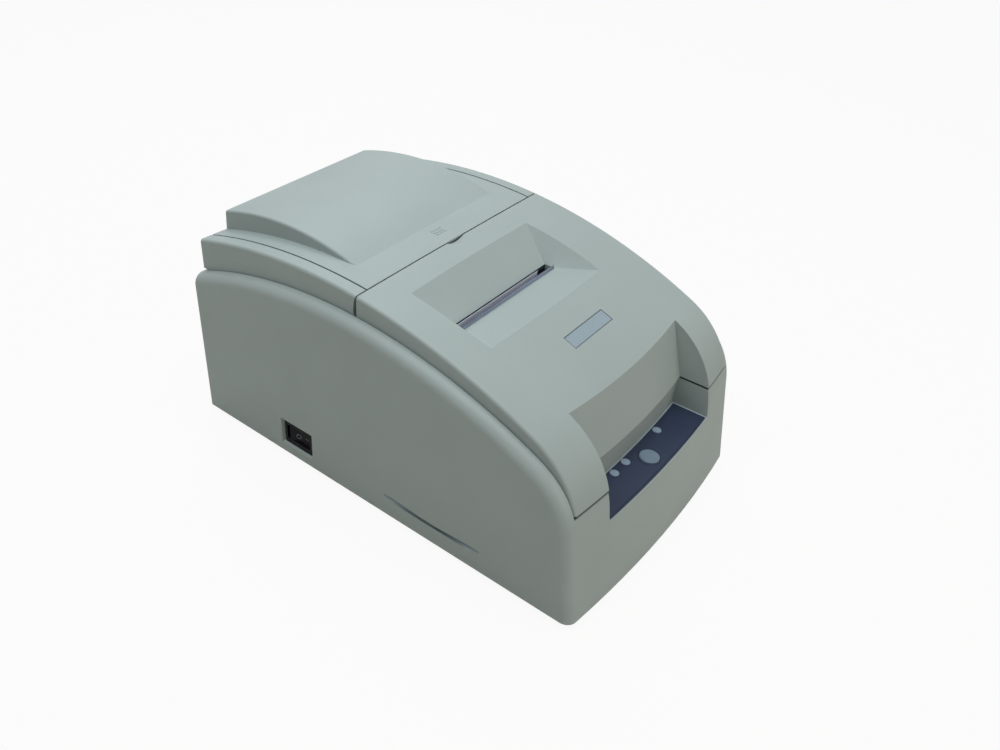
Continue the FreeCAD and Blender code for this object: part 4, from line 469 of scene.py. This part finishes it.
# %% Rear connector
INSERT_MIDDLE, INSERT_HALF = (-2.0 * MM, 20.35 * MM), (17.2 * MM, 3.3 * MM)
SHELL_PLATING, INSERT_BLACK = linear(190, 190, 184), linear(34, 34, 38)


def make_connector():
    """Plated shell with a dark insert, chosen by distance from the insert's middle in X and in Z."""
    made = metal("connector_shell", SHELL_PLATING, roughness=0.26, line_depth=0.02 * MM)
    tree, shader, plated = reopen(made)
    x, _, z = place_parts(tree)
    insert = overlap(tree, within(tree, x, INSERT_MIDDLE[0], INSERT_HALF[0]),
                     within(tree, z, INSERT_MIDDLE[1], INSERT_HALF[1]))
    tree.links.new(blend_colours(tree, insert, plated, INSERT_BLACK), shader.inputs["Base Color"])
    tree.links.new(maths(tree, "SUBTRACT", 1.0, insert), shader.inputs["Metallic"])
    return made


CONNECTOR = make_connector()
print("connector made")

# %% [markdown]
# Each CAD piece takes one finish. The table below is the whole colour plan of the printer.

# %% Finishes for the CAD pieces
FINISHES = {
    CASE: ["lower_case", "upper_case", "roll_cover", "front_cover"],
    PLATE: ["name_plate"],
    LABEL: ["panel_label"],
    BUTTON: ["feed_button"],
    LENS: ["indicator_lenses"],
    SWITCH: ["switch_housing", "rocker"],
    BLACK: ["carriage", "ribbon_cassette", "drawer_socket", "power_inlet", "tact_switch",
            "timing_belt", "paper_chute"],
    CONNECTOR: ["interface_connector"],
    CHIP: ["board_components"],
    RUBBER: ["rubber_feet", "feed_rollers", "pinch_rollers"],
    STEEL: ["tear_bar", "roll_cover_pins", "carriage_shaft", "feed_shaft", "pinch_shaft",
            "idler_stud", "platen"],
    SHEET: ["mech_base", "side_plate_left", "side_plate_right", "guide_rail", "carriage_motor",
            "feed_motor"],
    SCREW: ["mech_screws", "board_screws", "panel_screws", "case_screws"],
    ALLOY: ["print_head"],
    NYLON: ["drive_pulley", "idler_pulley", "ribbon_knob", "feed_gear", "motor_pinion"],
    PAPER: ["paper_roll", "paper_web"],
    CARD: ["roll_core"],
    BOARD: ["main_board", "panel_board"],
    RIBBON: ["ribbon"],
}
for finish, names in FINISHES.items():
    for name in names:
        slots = nodes[name].data.materials
        slots.clear()
        slots.append(finish)
bare = set(nodes) - {name for names in FINISHES.values() for name in names}
print("pieces without a finish:", sorted(bare))

# %% [markdown]
# New pieces are grids of points: a surface is a function of two parameters, worked out as whole
# arrays. One helper turns any such grid into a mesh, closes it where the second parameter comes
# round, and merges the poles. The other adds the poles that close the two ends of a swept section.

# %% Grid surfaces
MERGE_DISTANCE, SLIVER_LENGTH = 1e-7, 1e-8


def grid_piece(name, grids, body, finish, smooth=True):
    """Mesh of equal grids of points (rows, turns, 3) in mm, closed round the turns, on a body."""
    points = np.stack(grids)
    index = np.arange(points[..., 0].size).reshape(points.shape[:3])
    beside = np.roll(index, -1, axis=2)
    corners = [index[:, :-1], beside[:, :-1], beside[:, 1:], index[:, 1:]]
    faces = np.stack(corners, axis=-1).reshape(-1, 4)
    mesh = bpy.data.meshes.new(name)
    mesh.from_pydata((points.reshape(-1, 3) * MM).tolist(), [], faces.tolist())
    shell = bmesh.new()
    shell.from_mesh(mesh)
    bmesh.ops.remove_doubles(shell, verts=shell.verts, dist=MERGE_DISTANCE)
    bmesh.ops.dissolve_degenerate(shell, dist=SLIVER_LENGTH, edges=shell.edges)
    bmesh.ops.recalc_face_normals(shell, faces=shell.faces)
    shell.to_mesh(mesh)
    shell.free()
    if smooth:
        mesh.shade_smooth()
    mesh.materials.append(finish)
    made = bpy.data.objects.new(name, mesh)
    bpy.context.scene.collection.objects.link(made)
    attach(made, body)
    return made


def closed_ends(sections):
    """Row of sections (rows, corners, 3) with a pole at each end, at the end section's middle."""
    first = np.repeat(sections[:1].mean(axis=1, keepdims=True), sections.shape[1], axis=1)
    last = np.repeat(sections[-1:].mean(axis=1, keepdims=True), sections.shape[1], axis=1)
    return np.concatenate([first, sections, last])


print("grid helpers ready")

# %% [markdown]
# The tear bar is a strip of steel with a comb of teeth. The CAD bar has low teeth, and the real comb
# stands clearly above the slot's edge, so a taller comb replaces it. Its section is a rectangle
# whose top edge follows a triangle wave along the bar.

# %% Tear bar
BAR_LEFT, BAR_RIGHT, BAR_FRONT, BAR_BACK = -43.6, 33.0, -24.5, -23.9
BAR_LOW, BAR_TIP, TOOTH_PITCH, TOOTH_DEPTH = 97.02, 105.7, 1.66, 2.2


def toothed_bar():
    """Rectangle carried along X: its top is the tip less the depth times a triangle wave of X."""
    count = round((BAR_RIGHT - BAR_LEFT) / TOOTH_PITCH)
    x = np.linspace(BAR_LEFT, BAR_RIGHT, 2 * count + 1)
    top = BAR_TIP - TOOTH_DEPTH * (np.arange(x.size) % 2 == 0)
    low = np.full_like(x, BAR_LOW)
    front, back = np.full_like(x, BAR_FRONT), np.full_like(x, BAR_BACK)
    corners = [(front, low), (front, top), (back, top), (back, low)]
    return closed_ends(np.stack([np.stack([x, y, z], axis=-1) for y, z in corners], axis=1))


comb = grid_piece("tear_comb", [toothed_bar()], "front_cover", COMB_STEEL, smooth=False)
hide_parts("tear_bar")
print("tear comb:", len(comb.data.polygons), "faces")

# %% [markdown]
# The panel's film reaches almost to the front edge of its shelf. The CAD film stops a little short,
# so a narrow strip of the same film carries it on: a rectangle swept along an arc about the axis of
# the case's bow.

# %% Front edge of the panel film
STRIP_LOW, STRIP_TOP, STRIP_INNER, STRIP_OUTER = 45.0, 45.35, 688.8, 689.75
STRIP_HALF, STRIP_STEPS = 48.5, 49


def film_strip():
    """Rectangle between two radii and two heights, turned about the bow's axis from end to end."""
    bow_axis = BOW_AXIS_Y / MM
    reach = math.asin(STRIP_HALF / STRIP_INNER)
    angle = np.linspace(-reach, reach, STRIP_STEPS)
    corners = [(STRIP_INNER, STRIP_LOW), (STRIP_OUTER, STRIP_LOW),
               (STRIP_OUTER, STRIP_TOP), (STRIP_INNER, STRIP_TOP)]
    edges = [np.stack([radius * np.sin(angle), bow_axis - radius * np.cos(angle),
                       np.full_like(angle, height)], axis=-1) for radius, height in corners]
    return closed_ends(np.stack(edges, axis=1))


film_edge = grid_piece("panel_film_edge", [film_strip()], "base", LABEL, smooth=False)
print("film edge:", len(film_edge.data.polygons), "faces")

# %% [markdown]
# The switch's flange is deep in its recess in the CAD model. On the real switch a raised bezel round
# the rocker fills most of the recess, so that is added: a four-sided section carried once round the
# rocker's opening. Each rectangle is given by its front, its rear and its half height, all measured
# from the middle of the switch.

# %% Switch bezel
SWITCH_MIDDLE_Y, SWITCH_MIDDLE_Z = 52.6, 18.0
BEZEL_BACK, BEZEL_FACE = -76.45, -78.6
BEZEL_OPENING = (-8.4, 8.4, 4.7)
BEZEL_OUTER_BACK, BEZEL_OUTER_FACE = (-10.1, 9.8, 6.95), (-10.7, 10.0, 7.7)


def bezel_frame():
    """Loop through the four corners of the rectangles, one for each corner of the section."""
    section = [(BEZEL_BACK, BEZEL_OPENING), (BEZEL_FACE, BEZEL_OPENING),
               (BEZEL_FACE, BEZEL_OUTER_FACE), (BEZEL_BACK, BEZEL_OUTER_BACK)]
    rows = []
    for at_rear, upward in ((0, -1), (1, -1), (1, 1), (0, 1), (0, -1)):
        rows.append([(x, SWITCH_MIDDLE_Y + sizes[at_rear], SWITCH_MIDDLE_Z + upward * sizes[2])
                     for x, sizes in section])
    return np.array(rows)


bezel = grid_piece("switch_bezel", [bezel_frame()], "base", SWITCH, smooth=False)
print("switch bezel:", len(bezel.data.polygons), "faces")

# %% [markdown]
# The power rocker carries the two usual marks: a ring for off and a bar for on. They are pad-printed
# ink, raised by a few hundredths of a millimetre. Each half of the dished rocker face has its own
# directions, so the marks are drawn in those and turn with the rocker.

# %% Marks on the rocker
ROCKER_AXIS = np.array([-73.5, 52.6, 18.0])
ROCKER_REST_TILT = math.radians(7.0)
FACE_DISH, FACE_HALF, FACE_MIDDLE = 1.0, 7.695, 3.6
FACE_LEAN = math.atan2(FACE_DISH, FACE_HALF)
INK_HEIGHT = 0.06
RING_OFFSET, RING_DROP, RING_RADIUS, RING_HALF_WIDTH = 1.4, 0.8, 1.35, 0.27
RING_STEPS, RING_TURNS = 49, 16
STROKE_OFFSET, STROKE_HALF_LENGTH, STROKE_HALF_WIDTH = 4.8, 1.5, 0.25
STROKE_STEPS, STROKE_TURNS = 25, 32
END_POWER, GIRTH_POWER = 0.5, 0.4


def rocker_face(side):
    """Middle, along, out and up of the rear (1) or front (-1) half of the face, tilted at rest."""
    cos, sin = math.cos(ROCKER_REST_TILT), math.sin(ROCKER_REST_TILT)
    turn = np.array([[cos, -sin, 0], [sin, cos, 0], [0, 0, 1]])
    along = turn @ np.array([-math.sin(FACE_LEAN), side * math.cos(FACE_LEAN), 0])
    out = turn @ np.array([-math.cos(FACE_LEAN), -side * math.sin(FACE_LEAN), 0])
    return ROCKER_AXIS + turn @ np.array([-FACE_MIDDLE, 0, 0]), along, out, np.array([0, 0, 1.0])


def round_grid(rows, turns):
    """Grid of a parameter along the rows and an angle that goes once round without its end."""
    return np.meshgrid(rows, np.linspace(0, 2 * np.pi, turns, endpoint=False), indexing="ij")


def off_ring():
    """Flattened torus: a circle on the face, swept by an ellipse of the ink's width and height."""
    middle, along, out, up = rocker_face(1)
    turn, section = round_grid(np.linspace(0, 2 * np.pi, RING_STEPS), RING_TURNS)
    reach = (RING_RADIUS + RING_HALF_WIDTH * np.cos(section))[..., None]
    round_face = np.cos(turn)[..., None] * along + np.sin(turn)[..., None] * up
    return (middle + RING_OFFSET * along - RING_DROP * up + reach * round_face
            + INK_HEIGHT * np.sin(section)[..., None] * out)


def on_bar():
    """Squared-off ellipsoid: powers of sine and cosine below one make its ends blunt."""
    middle, along, out, up = rocker_face(-1)
    latitude, section = round_grid(np.linspace(-np.pi / 2, np.pi / 2, STROKE_STEPS), STROKE_TURNS)
    blunt = np.sign(np.sin(latitude)) * np.abs(np.sin(latitude)) ** END_POWER
    girth = np.cos(latitude) ** GIRTH_POWER
    return (middle + STROKE_OFFSET * along + STROKE_HALF_LENGTH * blunt[..., None] * along
            + (STROKE_HALF_WIDTH * girth * np.cos(section))[..., None] * up
            + (INK_HEIGHT * girth * np.sin(section))[..., None] * out)


off_mark = grid_piece("rocker_off_mark", [off_ring()], "rocker", INK)
on_mark = grid_piece("rocker_on_mark", [on_bar()], "rocker", INK)
print("marks:", off_mark.name, on_mark.name)

# %% [markdown]
# The screws of the CAD model are plain steps. A real pan head is a low dome with a cross-shaped
# recess, which is what an eye expects on the back of the case. One profile is turned round each
# screw's axis, and the recess is a dip in its height wherever a point lies near either arm of the
# cross. The sizes of the dome and of the cross are shares of the head's own radius and height.

# %% Screws
HEAD_STEPS, HEAD_TURNS = 20, 72
DOME_DROP, DOME_POWER = 0.45, 4
ARM_HALF, ARM_SLOPE, ARM_REACH, CROSS_DEPTH = 0.17, 0.06, 0.64, 0.7
UP, DOWN, REARWARD = (0, 0, 1.0), (0, 0, -1.0), (0, 1.0, 0)
CASE_SCREW = dict(head_radius=3.2, head_height=1.3, shank_radius=1.4, shank_length=6.1)
MECH_SCREW = dict(head_radius=3.2, head_height=2.0, shank_radius=1.6, shank_length=16.5)
BOARD_SCREW = dict(head_radius=2.8, head_height=1.7, shank_radius=1.4, shank_length=6.6)
PANEL_SCREW = dict(head_radius=2.4, head_height=1.6, shank_radius=1.2, shank_length=6.5)
SCREWS = {
    "case_screws": ([(x, 122.6, 84.0) for x in (-59.75, 59.75)], REARWARD, CASE_SCREW),
    "mech_screws": ([(x, y, 27.0) for x in (-64.0, 64.0) for y in (-84.5, 24.5)], UP, MECH_SCREW),
    "board_screws": ([(x, y, 14.1) for x in (-50.0, 50.0) for y in (-54.0, 92.0)], UP, BOARD_SCREW),
    "panel_screws": ([(x, -98.0, 35.0) for x in (-28.0, 30.0)], DOWN, PANEL_SCREW),
}


def pan_screw(place, out, head_radius, head_height, shank_radius, shank_length):
    """Profile of radius and height turned about the axis, lowered near the arms of a cross."""
    share = np.linspace(0, 1, HEAD_STEPS)
    dome = head_height * (1 - DOME_DROP * share ** DOME_POWER)
    radius = np.concatenate([head_radius * share, [head_radius, shank_radius, shank_radius, 0]])
    height = np.concatenate([dome, [0, 0, -shank_length, -shank_length]])
    turn = np.linspace(0, 2 * np.pi, HEAD_TURNS, endpoint=False)
    x, y = radius[:, None] * np.cos(turn), radius[:, None] * np.sin(turn)
    inside = ARM_HALF * head_radius - np.minimum(np.abs(x), np.abs(y))
    near_arm = np.clip(inside / (ARM_SLOPE * head_radius), 0, 1)
    taper = np.clip(1 - (radius / (ARM_REACH * head_radius)) ** 2, 0, 1)[:, None]
    dip = CROSS_DEPTH * head_height * near_arm * np.sqrt(taper)
    dip[HEAD_STEPS:] = 0
    side = np.array([1.0, 0, 0])
    other = np.cross(out, side)
    return (np.array(place) + x[..., None] * side + y[..., None] * other
            + (height[:, None] - dip)[..., None] * np.array(out))


for plain, (places, out, sizes) in SCREWS.items():
    grids = [pan_screw(place, out, **sizes) for place in places]
    turned = grid_piece(plain.replace("screws", "pan_screws"), grids, "base", SCREW)
    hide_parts(plain)
    print(turned.name, "stands for", len(places), "plain screws")

# %% [markdown]
# The studio is a pale, slightly warm floor that runs out to a white background. A cool soft lamp
# hangs overhead, with smaller ones high at the rear right and at the left, so the roof is the
# brightest face and the left shoulder catches a highlight. A warm lamp fills the front. The camera
# sees the background as plain white, while the floor still takes the printer's shadow.

# %% Stage and light
WHITE = (1, 1, 1, 1)
FLOOR_HALF, FLOOR_TINT, FLOOR_ROUGHNESS = 4.0, (0.78, 0.735, 0.67, 1), 0.9
FLOOR_WHITE_SHARE = 0.93
WORLD_AS_LIGHT, WORLD_AS_SEEN = 0.1, 1.0
LAMPS = {
    "overhead": dict(place=(0.0, -0.14, 1.3), target=(0, 0, 0.1), size=0.7, power=6.3,
                     colour=(0.85, 0.952, 1.0)),
    "rear right": dict(place=(0.62, 0.75, 1.15), target=(0, 0, 0.1), size=0.5, power=4.3,
                       colour=(0.84, 0.955, 1.0)),
    "front fill": dict(place=(0.1, -1.3, 0.5), target=(0, 0, 0.06), size=0.8, power=3.1,
                       colour=(1.0, 0.95, 0.86)),
    "high left": dict(place=(-0.58, 0.3, 1.15), target=(0, 0, 0.1), size=0.5, power=3.0,
                      colour=(0.88, 0.97, 1.0)),
}


def make_floor():
    """Square sheet at the height of the feet."""
    corners = np.array([(-1, -1, 0), (1, -1, 0), (1, 1, 0), (-1, 1, 0)]) * FLOOR_HALF
    mesh = bpy.data.meshes.new("floor")
    mesh.from_pydata(corners.tolist(), [], [(0, 1, 2, 3)])
    made = bpy.data.objects.new("floor", mesh)
    bpy.context.scene.collection.objects.link(made)
    finish, tree, shader = new_material("floor_white")
    shader.inputs["Base Color"].default_value = FLOOR_TINT
    shader.inputs["Roughness"].default_value = FLOOR_ROUGHNESS
    glow = add(tree, "Emission", {"Color": WHITE, "Strength": 1.0})
    path = add(tree, "LightPath")
    share = maths(tree, "MULTIPLY", path.outputs["Is Camera Ray"], FLOOR_WHITE_SHARE)
    mix = add(tree, "MixShader", {0: share, 1: shader.outputs[0], 2: glow.outputs[0]})
    tree.links.new(mix.outputs[0], tree.nodes["Material Output"].inputs["Surface"])
    mesh.materials.append(finish)


def make_world():
    """White for the camera and for reflections, softer grey as light on the object."""
    world = bpy.data.worlds.new("studio")
    world.use_nodes = True
    tree = world.node_tree
    path = add(tree, "LightPath")
    seen = maths(tree, "MAXIMUM", path.outputs["Is Camera Ray"], path.outputs["Is Glossy Ray"])
    seen = maths(tree, "MAXIMUM", seen, path.outputs["Is Transmission Ray"])
    level = add(tree, "MapRange", {0: seen, 3: WORLD_AS_LIGHT, 4: WORLD_AS_SEEN}).outputs[0]
    tree.links.new(level, tree.nodes["Background"].inputs["Strength"])
    tree.nodes["Background"].inputs["Color"].default_value = WHITE
    bpy.context.scene.world = world


def add_lamp(name, place, target, size, power, colour):
    """Square area lamp that faces a target."""
    lamp = bpy.data.objects.new(name, bpy.data.lights.new(name, "AREA"))
    lamp.data.size, lamp.data.energy, lamp.data.color = size, power, colour
    lamp.location = place
    lamp.rotation_euler = (Vector(target) - Vector(place)).to_track_quat("-Z", "Y").to_euler()
    bpy.context.scene.collection.objects.link(lamp)


make_floor()
make_world()
for name, values in LAMPS.items():
    add_lamp(name, **values)
print("lamps:", list(LAMPS))
